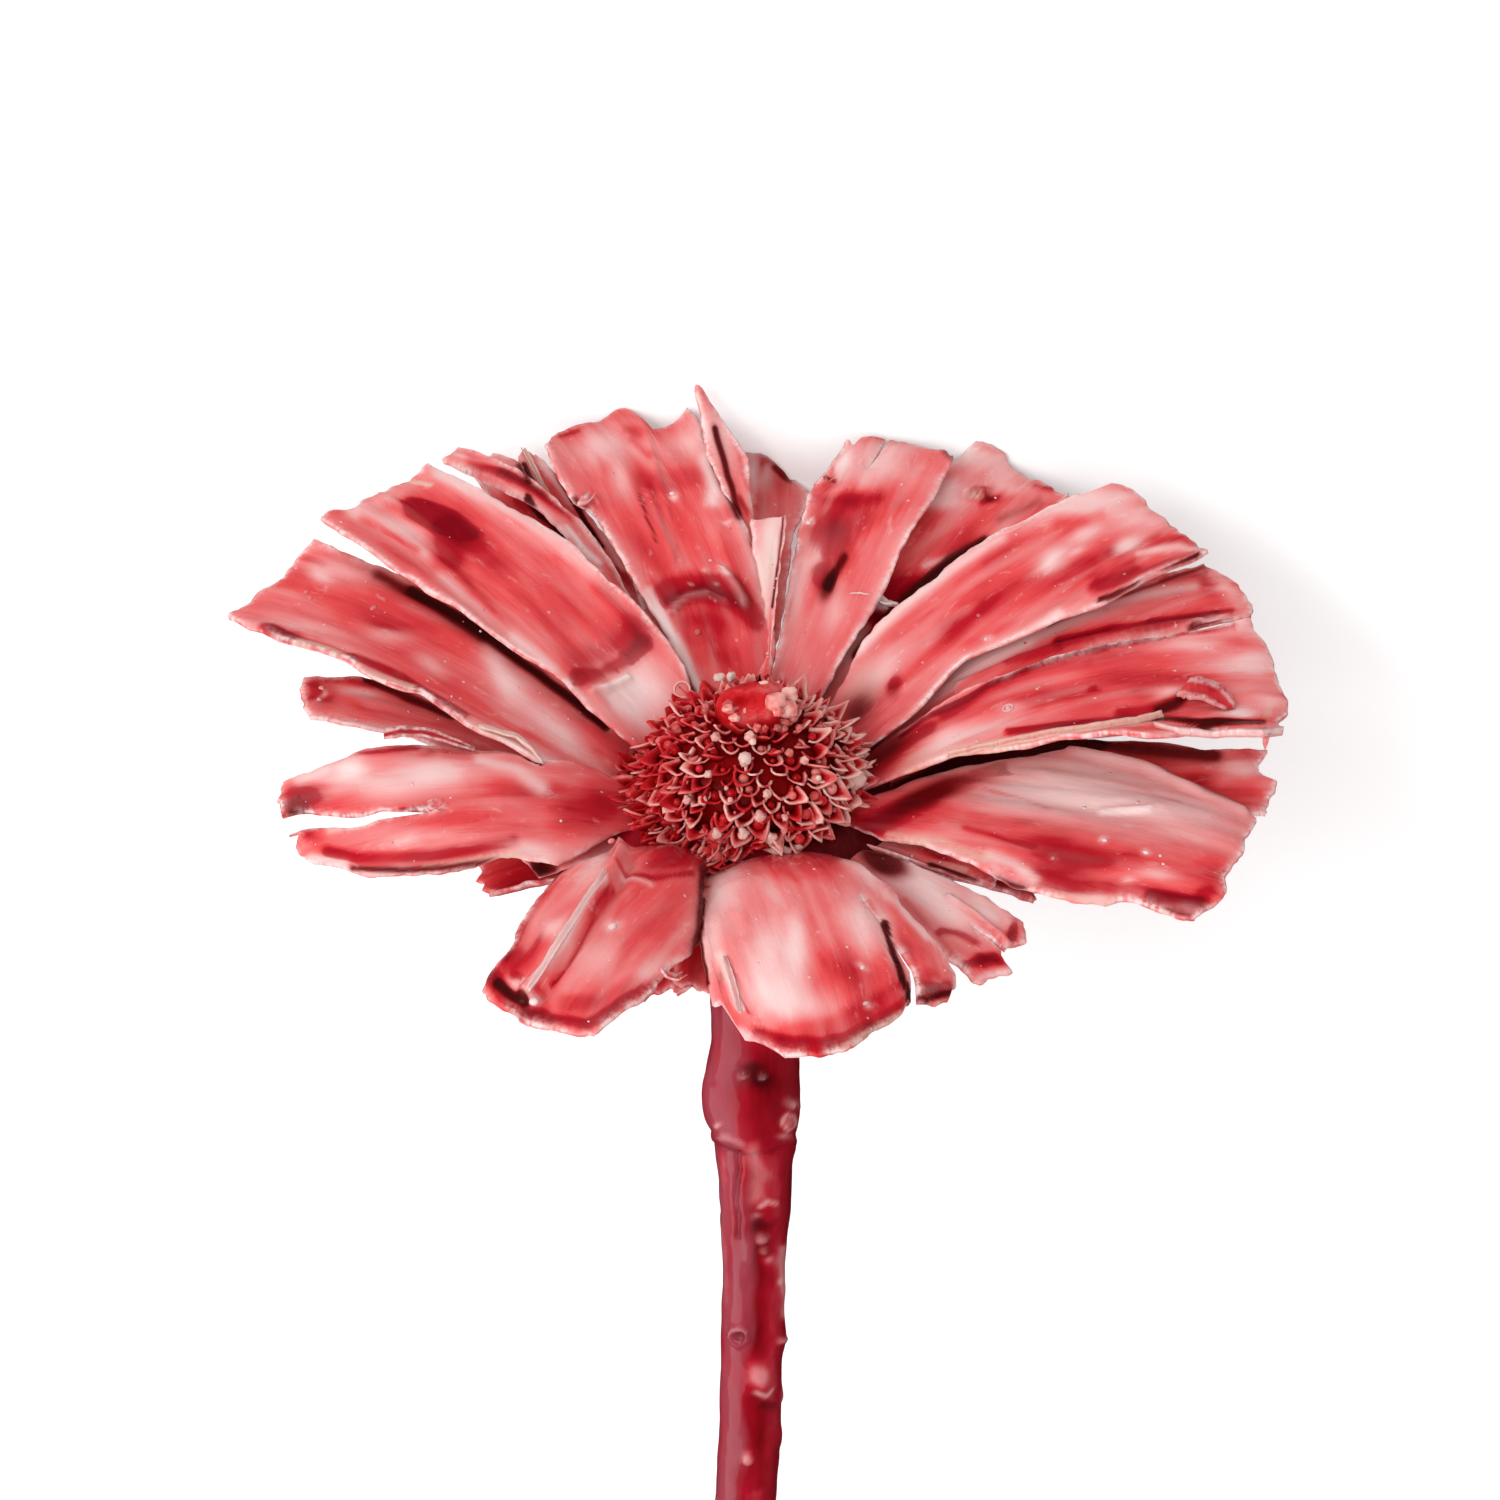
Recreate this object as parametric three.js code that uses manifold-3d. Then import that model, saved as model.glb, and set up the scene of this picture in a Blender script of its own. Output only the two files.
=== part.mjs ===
// A cut flower dipped in red wax, lying on its side: a stem with its receptacle, the seed head in
// the middle and rows of strap-shaped bracts spread round it. Millimetres, +Z up.
//
// The flower is built standing: +Z runs up the stem, the rim of the seed head stands at z = 0, and
// an azimuth of 0 is the viewer's right, 90 the back and 270 the front. At the end it is laid down
// so that the back bracts and the end of the stem rest on the floor and the head points to +Y.
import * as THREE from "three";
import { mergeVertices } from "three/addons/utils/BufferGeometryUtils.js";
import Module from "manifold-3d";

const wasm = await Module();
wasm.setup();

// Driving dimensions.
const bractThickness = 1.2;
const rowsAlong = 6;
const columnsAcross = 4;
const wideColumnsAcross = 6;
const wideFrom = 9.5; // a bract at least this wide gets the finer columns
const spineSteps = 24;
const spineOver = 1.25; // the centreline is laid out past the tip, for the longest torn points
const slitHalf = 0.04; // half the width of a slit's strip of mesh, as a part of the half width

const stemEndZ = -262;
const headRadius = 10.4;
const headHeight = 8.2;
const headBaseZ = 1.0;
const scaleRings = [
  { count: 16, lean: 76 },
  { count: 14, lean: 58 },
  { count: 9, lean: 38 },
  { count: 4, lean: 17 },
];
const scaleLength = 2.2;
const scaleRadius = 1.3;
const beadRadius = 3.1;
const beadFlat = 0.75;
const beadAside = [1.6, 1.5];
const domeSteps = 6;
const domeSides = 24;
const stemSides = 18;

// How the flower lies: tilt of the stem from level, roll about the stem, and where its frame stands.
const layTilt = 9.3;
const layRoll = 7.9;

// Where each row of bracts is rooted on the receptacle: radius and height.
const rows = [
  [11.0, -0.5],
  [10.5, -2.6],
  [9.5, -4.8],
  [8.2, -8.0],
  [6.8, -12.0],
  [11.0, 1.4],
];

const deg = Math.PI / 180;

// A bract's numbers run from root to tip: [at the root, half way, at the tip].
function through([a, b, c], s) {
  return a + s * (-3 * a + 4 * b - c) + s * s * (2 * a - 4 * b + 2 * c);
}

const flat = [0, 0, 0];

// The inner bracts. az: azimuth of the root, pitch: rise of the centreline, turn: its swing to the
// side, roll and cup: twist and hollowing across, wide: width, tip: longer or shorter edge,
// slits: [where across from -1 to 1, where it starts along, gap]. Degrees and millimetres.
const innerBracts = [
  {
    name: "bract_upper_left_broad",
    az: 137,
    row: 0,
    length: 39.5,
    pitch: [30, 18, 4],
    wide: [6, 14.5, 14.5],
    cup: [30, 18, 8],
    tip: [-3, -1, 1.2],
  },
  {
    name: "bract_left_long",
    az: 158,
    row: 1,
    length: 41.5,
    pitch: [28, 18.5, 1],
    wide: [5, 13, 11.5],
    cup: [20, 14, 8],
    tip: [-0.5, 0.3, 1.5],
  },
  {
    name: "bract_left_narrow",
    az: 172,
    row: 2,
    length: 34.5,
    pitch: [24, 16, 6],
    wide: [3, 6.5, 4.5],
    turn: [0, 0, -3],
  },
  {
    name: "bract_left_sliver",
    az: 182,
    row: 1,
    length: 24,
    pitch: [28, 15, 6],
    wide: [3, 4, 2],
  },
  {
    name: "bract_left_split",
    az: 193.5,
    row: 0,
    length: 34,
    pitch: [24, 8, -14],
    wide: [6, 15.5, 9],
    cup: [0, -15, -25],
    roll: [-4, -14, -18],
    slits: [[0.1, 0.55, 1.4]],
  },
  {
    name: "bract_lower_left_stub",
    az: 204,
    row: 1,
    length: 17.5,
    pitch: [10, 2, -8],
    wide: [3.5, 5, 4],
  },
  {
    name: "bract_front_folded",
    az: 243,
    row: 0,
    length: 32,
    pitch: [25, 5, -15],
    wide: [5, 14, 12.5],
    cup: [-20, -30, -20],
    tip: [-1, 1.5, -6],
  },
  {
    name: "bract_front_broad",
    az: 284.5,
    row: 0,
    length: 31.5,
    pitch: [28, 2, -24],
    wide: [9, 21, 18.5],
    cup: [-14, -24, -28],
    tip: [-2.5, 0.5, -6],
    slits: [[0.6, 0.25, 1]],
  },
  {
    name: "bract_front_right_short",
    az: 315.5,
    row: 1,
    length: 24,
    pitch: [4, 0, -4],
    wide: [4.5, 9.5, 10],
    cup: [0, 10, 10],
  },
  {
    name: "bract_right_sliver",
    az: 336,
    row: 1,
    length: 16,
    pitch: [5, -1, -5],
    wide: [2.5, 3, 2],
    turn: [0, -1, -3],
  },
  {
    name: "bract_right_lower_broad",
    az: 341,
    row: 0,
    length: 37.5,
    pitch: [9, 4, -6],
    wide: [3.4, 16.2, 13],
    cup: [0, -10, -15],
    roll: [3, 9, 14],
  },
  {
    name: "bract_right_rear_lobe",
    az: 357,
    row: 1,
    length: 40.5,
    pitch: [7, 6, 4],
    wide: [3.5, 8, 8],
  },
  {
    name: "bract_right_broad",
    az: 6,
    row: 0,
    length: 42.5,
    pitch: [34, 15, -5],
    wide: [3.4, 12.5, 13],
    cup: [20, 16, 10],
  },
  {
    name: "bract_right_slim",
    az: 22,
    row: 1,
    length: 42,
    pitch: [29, 18.5, 2],
    wide: [4, 8, 7.5],
  },
  {
    name: "bract_upper_right_broad",
    az: 35,
    row: 0,
    length: 41.5,
    pitch: [30, 18, 3],
    wide: [5, 13, 13],
    cup: [20, 16, 10],
  },
  {
    name: "bract_back_right",
    az: 56.5,
    row: 1,
    length: 39.5,
    pitch: [28, 16, 0],
    wide: [5, 14, 14],
    cup: [10, 10, 10],
    tip: [-2, 0.5, 0],
  },
  {
    name: "bract_back_right_inner",
    az: 69.5,
    row: 0,
    length: 36.5,
    pitch: [29, 17, 1],
    wide: [4, 10, 10.5],
    cup: [10, 10, 10],
  },
  {
    name: "bract_back_pointed",
    az: 85,
    row: 2,
    length: 42,
    pitch: [26, 27, 28],
    wide: [2, 2.8, 1.5],
    turn: [0, 0, 36],
  },
  {
    name: "bract_back_pale_strap",
    az: 82,
    row: 5,
    length: 26,
    pitch: [32, 20, 10],
    wide: [1.8, 2.6, 2.8],
    turn: [0, 5, 8],
  },
  {
    name: "bract_back_ragged",
    az: 92,
    row: 3,
    length: 36.5,
    pitch: [32, 17, 5],
    wide: [2.5, 4, 4],
  },
  {
    name: "bract_back_broad",
    az: 93,
    row: 0,
    length: 39,
    pitch: [28, 16, 0],
    wide: [4.5, 13, 13.5],
    cup: [10, 10, 10],
    turn: [6, 16, 22],
    tip: [-1, 0, 1],
  },
  {
    name: "bract_back_left_curled",
    az: 121,
    row: 1,
    length: 39.5,
    pitch: [29, 18, 4],
    wide: [2.2, 3, 2.5],
    turn: [0, -2, 30],
  },
  {
    name: "bract_back_left_channel",
    az: 113,
    row: 2,
    length: 40.5,
    pitch: [28, 16, 5],
    wide: [2.2, 3.4, 3],
    turn: [0, 2, 3],
  },
  {
    name: "bract_back_left_sliver",
    az: 108,
    row: 1,
    length: 33,
    pitch: [28, 17, 5],
    wide: [2.2, 3, 1],
    turn: [0, 2, 3],
  },
  {
    name: "bract_back_left_hidden",
    az: 130,
    row: 2,
    length: 41,
    pitch: [27, 16, 5],
    wide: [2.6, 5.4, 5],
  },
];

// The shorter rows beneath, the same shape all round with a little change from one to the next.
function rowOfBracts(name, row, azimuths, lengths, pitch, wide, cup) {
  return azimuths.map((az, i) => ({
    name: `${name}_${i + 1}`,
    az,
    row,
    length: lengths[i],
    pitch,
    wide,
    cup,
  }));
}

const outerBracts = [
  ...rowOfBracts(
    "outer_bract",
    2,
    [11.5, 37, 62, 150.5, 197, 225, 262, 292, 319, 345.5],
    [22, 23, 21, 22, 19, 14, 18.5, 18, 17, 20],
    [5, -4, -12],
    [3.5, 7.5, 5.5],
    [20, 16, 12],
  ),
  ...rowOfBracts(
    "collar_bract",
    3,
    [24, 62, 119, 162, 206, 246, 286, 338],
    [16, 17, 16, 15, 13, 13, 13, 15],
    [-8, -14, -20],
    [4, 8, 5],
    [30, 24, 18],
  ),
  ...rowOfBracts(
    "collar_scale",
    4,
    [50, 110, 170, 230, 290, 350],
    [9, 10, 9, 8, 8.5, 9],
    [-24, -28, -30],
    [4, 6.5, 3.5],
    [40, 32, 24],
  ),
];

// The centreline of a bract, with its direction, its side and its upper face at each step.
function spine(bract) {
  const [rootRadius, rootZ] = rows[bract.row];
  const step = bract.length / spineSteps;
  const place = new THREE.Vector3(
    rootRadius * Math.cos(bract.az * deg),
    rootRadius * Math.sin(bract.az * deg),
    rootZ,
  );
  const stations = [];
  let before = null;
  for (let i = 0; i <= spineSteps * spineOver; i += 1) {
    const s = i / spineSteps;
    const heading = (bract.az + through(bract.turn ?? flat, s)) * deg;
    const rise = through(bract.pitch, s) * deg;
    const roll = through(bract.roll ?? flat, s) * deg;
    const along = new THREE.Vector3(
      Math.cos(rise) * Math.cos(heading),
      Math.cos(rise) * Math.sin(heading),
      Math.sin(rise),
    );
    if (before) place.addScaledVector(before.clone().add(along), step / 2);
    before = along;
    const level = new THREE.Vector3(-Math.sin(heading), Math.cos(heading), 0);
    const up = along.clone().cross(level);
    const side = level
      .clone()
      .multiplyScalar(Math.cos(roll))
      .addScaledVector(up, Math.sin(roll));
    const face = level
      .clone()
      .multiplyScalar(-Math.sin(roll))
      .addScaledVector(up, Math.cos(roll));
    stations.push({ place: place.clone(), side, face });
  }
  return stations;
}

// The point at s along and t across a bract's middle surface.
function surfacePoint(bract, stations, s, t) {
  const at = Math.min(s * spineSteps, stations.length - 1.001);
  const i = Math.floor(at);
  const mix = at - i;
  const place = stations[i].place.clone().lerp(stations[i + 1].place, mix);
  const side = stations[i].side.clone().lerp(stations[i + 1].side, mix);
  const face = stations[i].face.clone().lerp(stations[i + 1].face, mix);
  const half = through(bract.wide, s) / 2;
  const cup = through(bract.cup ?? flat, s) * deg || 1e-4;
  let across = (half * Math.sin(cup * t)) / cup;
  for (const [where, from, gap] of bract.slits ?? []) {
    const open = Math.min(Math.max((s - from) / (1 - from), 0), 1);
    across += (Math.sign(t - where) * gap * open) / 2;
  }
  return place
    .addScaledVector(side, across)
    .addScaledVector(face, (half * (1 - Math.cos(cup * t))) / cup);
}

// A closed shell of even thickness about a grid of points.
function shell(grid, thickness) {
  const nu = grid.length - 1;
  const nv = grid[0].length - 1;
  const positions = [];
  for (const side of [1, -1]) {
    for (let i = 0; i <= nu; i += 1) {
      for (let j = 0; j <= nv; j += 1) {
        const along = grid[Math.min(i + 1, nu)][j]
          .clone()
          .sub(grid[Math.max(i - 1, 0)][j]);
        const across = grid[i][Math.min(j + 1, nv)]
          .clone()
          .sub(grid[i][Math.max(j - 1, 0)]);
        const normal = along.cross(across).normalize();
        const p = grid[i][j].clone();
        positions.push(...p.addScaledVector(normal, (side * thickness) / 2));
      }
    }
  }
  const below = (nu + 1) * (nv + 1);
  const top = (i, j) => i * (nv + 1) + j;
  const faces = [];
  const quad = (a, b, c, d) => faces.push(a, b, c, a, c, d);
  for (let i = 0; i < nu; i += 1) {
    for (let j = 0; j < nv; j += 1) {
      const corners = [top(i, j), top(i + 1, j), top(i + 1, j + 1), top(i, j + 1)];
      quad(...corners);
      quad(...corners.reverse().map((k) => k + below));
    }
  }
  const rim = [];
  for (let i = 0; i < nu; i += 1) rim.push(top(i, 0));
  for (let j = 0; j < nv; j += 1) rim.push(top(nu, j));
  for (let i = nu; i > 0; i -= 1) rim.push(top(i, nv));
  for (let j = nv; j > 0; j -= 1) rim.push(top(0, j));
  rim.forEach((a, k) => {
    const b = rim[(k + 1) % rim.length];
    quad(b, a, a + below, b + below);
  });
  return new THREE.BufferGeometry()
    .setAttribute("position", new THREE.Float32BufferAttribute(positions, 3))
    .setIndex(faces);
}

function bractGeometry(bract) {
  const stations = spine(bract);
  const columns = Math.max(...bract.wide) < wideFrom ? columnsAcross : wideColumnsAcross;
  const across = [];
  for (let j = 0; j <= columns; j += 1) across.push({ t: (2 * j) / columns - 1 });
  for (const [where, from] of bract.slits ?? []) {
    across.push({ t: where - slitHalf }, { t: where, end: from }, { t: where + slitHalf });
  }
  across.sort((a, b) => a.t - b.t);
  const grid = [];
  for (let i = 0; i <= rowsAlong; i += 1) {
    grid.push(
      across.map(({ t, end }) => {
        const reach = end ?? 1 + through(bract.tip ?? flat, (t + 1) / 2) / bract.length;
        return surfacePoint(bract, stations, (i / rowsAlong) * reach, t);
      }),
    );
  }
  return shell(grid, bractThickness);
}

// A round body from rings of [centre x, centre y, z, radius], closed with a point at each end.
function roundBody(rings, sides) {
  const positions = [];
  for (const [x, y, z, radius] of rings) {
    for (let k = 0; k < sides; k += 1) {
      const angle = (2 * Math.PI * k) / sides;
      positions.push(x + radius * Math.cos(angle), y + radius * Math.sin(angle), z);
    }
  }
  const [first, last] = [rings[0], rings[rings.length - 1]];
  positions.push(first[0], first[1], first[2], last[0], last[1], last[2]);
  const firstMiddle = rings.length * sides;
  const faces = [];
  for (let k = 0; k < sides; k += 1) {
    const next = (k + 1) % sides;
    for (let i = 0; i < rings.length - 1; i += 1) {
      const [a, b] = [i * sides + k, i * sides + next];
      faces.push(a, b, b + sides, a, b + sides, a + sides);
    }
    const end = (rings.length - 1) * sides;
    faces.push(firstMiddle, next, k, firstMiddle + 1, end + k, end + next);
  }
  return new THREE.BufferGeometry()
    .setAttribute("position", new THREE.Float32BufferAttribute(positions, 3))
    .setIndex(faces);
}

// The stem from its cut end up into the receptacle: [z, centre x, radius].
const stemRings = [
  [stemEndZ, -2.6, 3.1],
  [-225, -2.4, 3.0],
  [-185, -1.5, 3.2],
  [-150, -1.2, 3.0],
  [-118, -0.4, 3.2],
  [-95, 0.3, 3.1],
  [-80, 0.8, 3.15],
  [-62, 1.1, 3.1],
  [-50, 1.3, 3.6],
  [-43, 1.2, 4.0],
  [-40, 1.1, 4.6],
  [-36, 1.0, 4.7],
  [-31, 1.2, 4.3],
  [-24, 1.2, 4.3],
  [-20, 0.9, 4.6],
  [-16, 0.5, 5.0],
  [-12, 0.2, 6.1],
  [-8, 0, 7.4],
  [-4.8, 0, 8.7],
  [-2.6, 0, 9.7],
  [0.6, 0, 10.2],
];

function stemGeometry() {
  return roundBody(
    stemRings.map(([z, x, radius]) => [x, 0, z, radius]),
    stemSides,
  );
}

function asSolid(geometry) {
  geometry.deleteAttribute("normal");
  geometry.deleteAttribute("uv");
  const merged = mergeVertices(geometry, 1e-4);
  return new wasm.Manifold(
    new wasm.Mesh({
      numProp: 3,
      vertProperties: merged.attributes.position.array,
      triVerts: new Uint32Array(merged.index.array),
    }),
  );
}

function fromSolid(solid) {
  const mesh = solid.getMesh();
  return new THREE.BufferGeometry()
    .setAttribute("position", new THREE.BufferAttribute(mesh.vertProperties, 3))
    .setIndex(new THREE.BufferAttribute(mesh.triVerts, 1));
}

// The dome of the seed head, with rings of pointed scales and the bead of wax on its top.
function seedHeadGeometry() {
  const profile = [new THREE.Vector2(0, headBaseZ)];
  for (let i = 0; i <= domeSteps; i += 1) {
    const angle = (i / domeSteps) * 90 * deg;
    profile.push(
      new THREE.Vector2(
        i === domeSteps ? 0 : headRadius * Math.cos(angle),
        headBaseZ + headHeight * Math.sin(angle),
      ),
    );
  }
  const dome = new THREE.LatheGeometry(profile, domeSides);
  dome.rotateX(90 * deg);
  let solid = asSolid(dome);
  scaleRings.forEach(({ count, lean }, ring) => {
    for (let k = 0; k < count; k += 1) {
      const azimuth = ((k + ring * 0.5) / count) * 360 * deg;
      const out = new THREE.Vector3(
        headRadius * Math.sin(lean * deg) * Math.cos(azimuth),
        headRadius * Math.sin(lean * deg) * Math.sin(azimuth),
        headHeight * Math.cos(lean * deg),
      );
      const scale = new THREE.ConeGeometry(scaleRadius, scaleLength, 5);
      scale.applyQuaternion(
        new THREE.Quaternion().setFromUnitVectors(
          new THREE.Vector3(0, 1, 0),
          out.clone().normalize(),
        ),
      );
      scale.translate(out.x, out.y, out.z + headBaseZ);
      solid = solid.add(asSolid(scale));
    }
  });
  const bead = new THREE.SphereGeometry(beadRadius, 10, 7);
  bead.scale(1, 1, beadFlat);
  bead.translate(...beadAside, headBaseZ + headHeight);
  return fromSolid(solid.add(asSolid(bead)));
}

function waxed(colour, roughness) {
  return new THREE.MeshStandardMaterial({ color: colour, roughness, metalness: 0 });
}

const flower = new THREE.Group();

function add(name, geometry, material) {
  geometry.computeVertexNormals();
  const mesh = new THREE.Mesh(geometry, material);
  mesh.name = name;
  flower.add(mesh);
}

add("stem", stemGeometry(), waxed("#a02838", 0.35));
add("seed_head", seedHeadGeometry(), waxed("#7a1c22", 0.4));
for (const bract of innerBracts) {
  add(bract.name, bractGeometry(bract), waxed("#dc6068", 0.3));
}
for (const bract of outerBracts) {
  add(bract.name, bractGeometry(bract), waxed("#b83440", 0.35));
}

// Laid down: the back turns to the floor, the stem runs to -Y and its end comes down to the floor.
const rolled = new THREE.Group();
rolled.rotation.y = layRoll * deg;
flower.rotation.x = -(90 - layTilt) * deg;
rolled.add(flower);
const part = new THREE.Group();
part.add(rolled);
part.updateMatrixWorld(true);
const box = new THREE.Box3().setFromObject(part, true);
rolled.position.set(
  -(box.min.x + box.max.x) / 2,
  -(box.min.y + box.max.y) / 2,
  -box.min.z,
);

export default part;
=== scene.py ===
import math
import random

import bmesh
import bpy
from mathutils import Matrix, Vector, noise


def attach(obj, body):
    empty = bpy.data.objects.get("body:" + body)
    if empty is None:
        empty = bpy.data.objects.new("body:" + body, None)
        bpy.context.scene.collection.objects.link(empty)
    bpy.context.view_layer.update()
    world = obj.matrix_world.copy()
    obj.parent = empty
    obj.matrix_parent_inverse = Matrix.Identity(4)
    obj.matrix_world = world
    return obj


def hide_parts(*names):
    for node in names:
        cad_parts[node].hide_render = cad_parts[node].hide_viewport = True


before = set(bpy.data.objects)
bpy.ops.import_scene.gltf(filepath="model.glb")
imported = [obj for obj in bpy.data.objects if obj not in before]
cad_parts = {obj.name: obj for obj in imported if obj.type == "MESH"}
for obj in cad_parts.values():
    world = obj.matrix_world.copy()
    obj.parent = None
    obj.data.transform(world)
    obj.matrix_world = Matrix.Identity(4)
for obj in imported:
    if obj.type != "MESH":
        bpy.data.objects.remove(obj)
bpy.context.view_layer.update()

# How the flower lies, as in the frame: it is worked out standing, in millimetres, with +Z up
# the stem and azimuth 0 to the viewer's right, then laid down and made metres.
lay = {"tilt": 9.3, "roll": 7.9, "shift": (-0.38344, 118.48377, 44.76511)}
layDown = (
    Matrix.Scale(0.001, 4)
    @ Matrix.Translation(lay["shift"])
    @ Matrix.Rotation(math.radians(lay["roll"]), 4, "Y")
    @ Matrix.Rotation(-math.radians(90 - lay["tilt"]), 4, "X")
)

# The camera of the photograph, seen from the standing flower. ring: where the photograph shows
# the flower's own origin.
view = {"elevation": 37, "distance": 800, "lens": 200, "sensor": 36, "picture": 1500, "ring": (742, 787)}
lookDown = math.radians(view["elevation"])
towards = Vector((0, -math.cos(lookDown), math.sin(lookDown)))
upwards = Vector((0, math.sin(lookDown), math.cos(lookDown)))
sideways = Vector((1, 0, 0))
pixelsAt = view["picture"] * view["lens"] / view["sensor"]
pixelsPerMm = pixelsAt / view["distance"]
middle = view["picture"] / 2
aim = (sideways * (middle - view["ring"][0]) + upwards * (view["ring"][1] - middle)) / pixelsPerMm
eye = aim + towards * view["distance"]


# Where the photograph shows a point of the standing flower.
def pixelOf(point):
    seen = point - eye
    far = -seen.dot(towards)
    return (middle + pixelsAt * seen.dot(sideways) / far, middle - pixelsAt * seen.dot(upwards) / far)


# The way from the camera through a pixel.
def rayThrough(x, y):
    aside = sideways * (x - middle) + upwards * (middle - y)
    return (aside / pixelsPerMm - towards * view["distance"]).normalized()


def clamp(value, low=0.0, high=1.0):
    return max(low, min(high, value))


def smooth(value):
    value = clamp(value)
    return value * value * (3 - 2 * value)


# A value that starts at a, passes b halfway and ends at c.
def through(ends, s):
    a, b, c = ends
    return a + s * (-3 * a + 4 * b - c) + s * s * (2 * a - 4 * b + 2 * c)


def ripple(x, y, z=0.0):
    return noise.noise(Vector((x, y, z)))


def vertsOf(geom):
    return [v for v in geom if isinstance(v, bmesh.types.BMVert)]


# A socket on which Python's own operators add the Math nodes.
class Wire:
    def __init__(self, finish, socket):
        self.finish, self.socket = finish, socket

    def __add__(self, other):
        return self.finish.maths("ADD", self, other)

    def __radd__(self, other):
        return self.finish.maths("ADD", other, self)

    def __sub__(self, other):
        return self.finish.maths("SUBTRACT", self, other)

    def __rsub__(self, other):
        return self.finish.maths("SUBTRACT", other, self)

    def __mul__(self, other):
        return self.finish.maths("MULTIPLY", self, other)

    def __rmul__(self, other):
        return self.finish.maths("MULTIPLY", other, self)


class Finish:
    def __init__(self, name):
        self.material = bpy.data.materials.new(name)
        self.material.use_nodes = True
        self.tree = self.material.node_tree
        self.tree.nodes.clear()

    # settings come first, then values or wires for the sockets
    def node(self, kind, settings=None, sockets=None, out=0):
        made = self.tree.nodes.new(kind)
        for name, value in (settings or {}).items():
            if name == "stops":
                ramp = made.color_ramp
                while len(ramp.elements) < len(value):
                    ramp.elements.new(0.5)
                for element, (place, colour) in zip(ramp.elements, value):
                    element.position = place
                    element.color = (*colour, 1)
            else:
                setattr(made, name, value)
        for name, value in (sockets or {}).items():
            if isinstance(value, Wire):
                self.tree.links.new(value.socket, made.inputs[name])
            elif value is not None:
                made.inputs[name].default_value = value
        return Wire(self, made.outputs[out]) if made.outputs else None

    def maths(self, operation, a, b=None, clamped=False, c=None):
        return self.node("ShaderNodeMath", {"operation": operation, "use_clamp": clamped}, {0: a, 1: b, 2: c})

    # a product held between 0 and 1
    def share(self, a, b):
        return self.maths("MULTIPLY", a, b, True)

    def mask(self, value, low, high):
        return self.node("ShaderNodeMapRange", {"interpolation_type": "SMOOTHSTEP"}, {0: value, 1: low, 2: high})

    def blend(self, amount, under, over, way="MIX"):
        under, over = [(*c, 1) if isinstance(c, tuple) else c for c in (under, over)]
        return self.node("ShaderNodeMix", {"data_type": "RGBA", "blend_type": way}, {0: amount, 6: under, 7: over}, 2)

    # colours on a ramp, one after another
    def ramp(self, amount, stops):
        return self.node("ShaderNodeValToRGB", {"stops": stops}, {0: amount})

    def bump(self, height, strength, distance):
        return self.node("ShaderNodeBump", {}, {"Strength": strength, "Distance": distance, "Height": height})

    def stored(self, name):
        return self.node("ShaderNodeAttribute", {"attribute_name": name}, out="Fac")

    def cloud(self, where, size, stretch=(1, 1, 1), detail=2, rough=0.5, bend=0.0):
        spread = self.node("ShaderNodeMapping", {}, {"Vector": where, "Scale": tuple(s / size for s in stretch)})
        return self.node(
            "ShaderNodeTexNoise", {},
            {"Vector": spread, "Scale": 1.0, "Detail": detail, "Roughness": rough, "Distortion": bend},
        )

    def finish(self, sockets):
        shader = self.node("ShaderNodeBsdfPrincipled", {}, sockets)
        self.node("ShaderNodeOutputMaterial", {}, {"Surface": shader})
        return self.material


# The wax over the bracts. The first five colours go from where the coat is thin to where it stands in a
# pool; bubbles: how many to the centimetre; relief: how deep the fine relief goes, in metres.
waxLook = {
    "thin": (0.76, 0.455, 0.445),
    "light": (0.75, 0.225, 0.222),
    "coral": (0.70, 0.070, 0.074),
    "deep": (0.46, 0.008, 0.018),
    "pooled": (0.22, 0.001, 0.007),
    # the next colour: whitened wax, and also painted highlight and sheen
    "bloom": (0.84, 0.65, 0.63),
    "torn": (0.66, 0.43, 0.34),
    "rust": (0.24, 0.035, 0.025),
    # shaded and the darkest colour after it are painted shade for gaps and crevices
    "shaded": (0.36, 0.07, 0.08),
    "shadowDark": (0.035, 0.004, 0.004),
    "bubbles": 7.0, "rough": 0.24, "gloss": 0.4, "glossRough": 0.08, "ior": 1.4, "mirror": 0.08,
    "relief": 0.00028, "reliefStrength": 0.7,
    "glow": 0.2, "glowReach": (1.0, 0.28, 0.22), "glowDepth": 0.0016,
}


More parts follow.
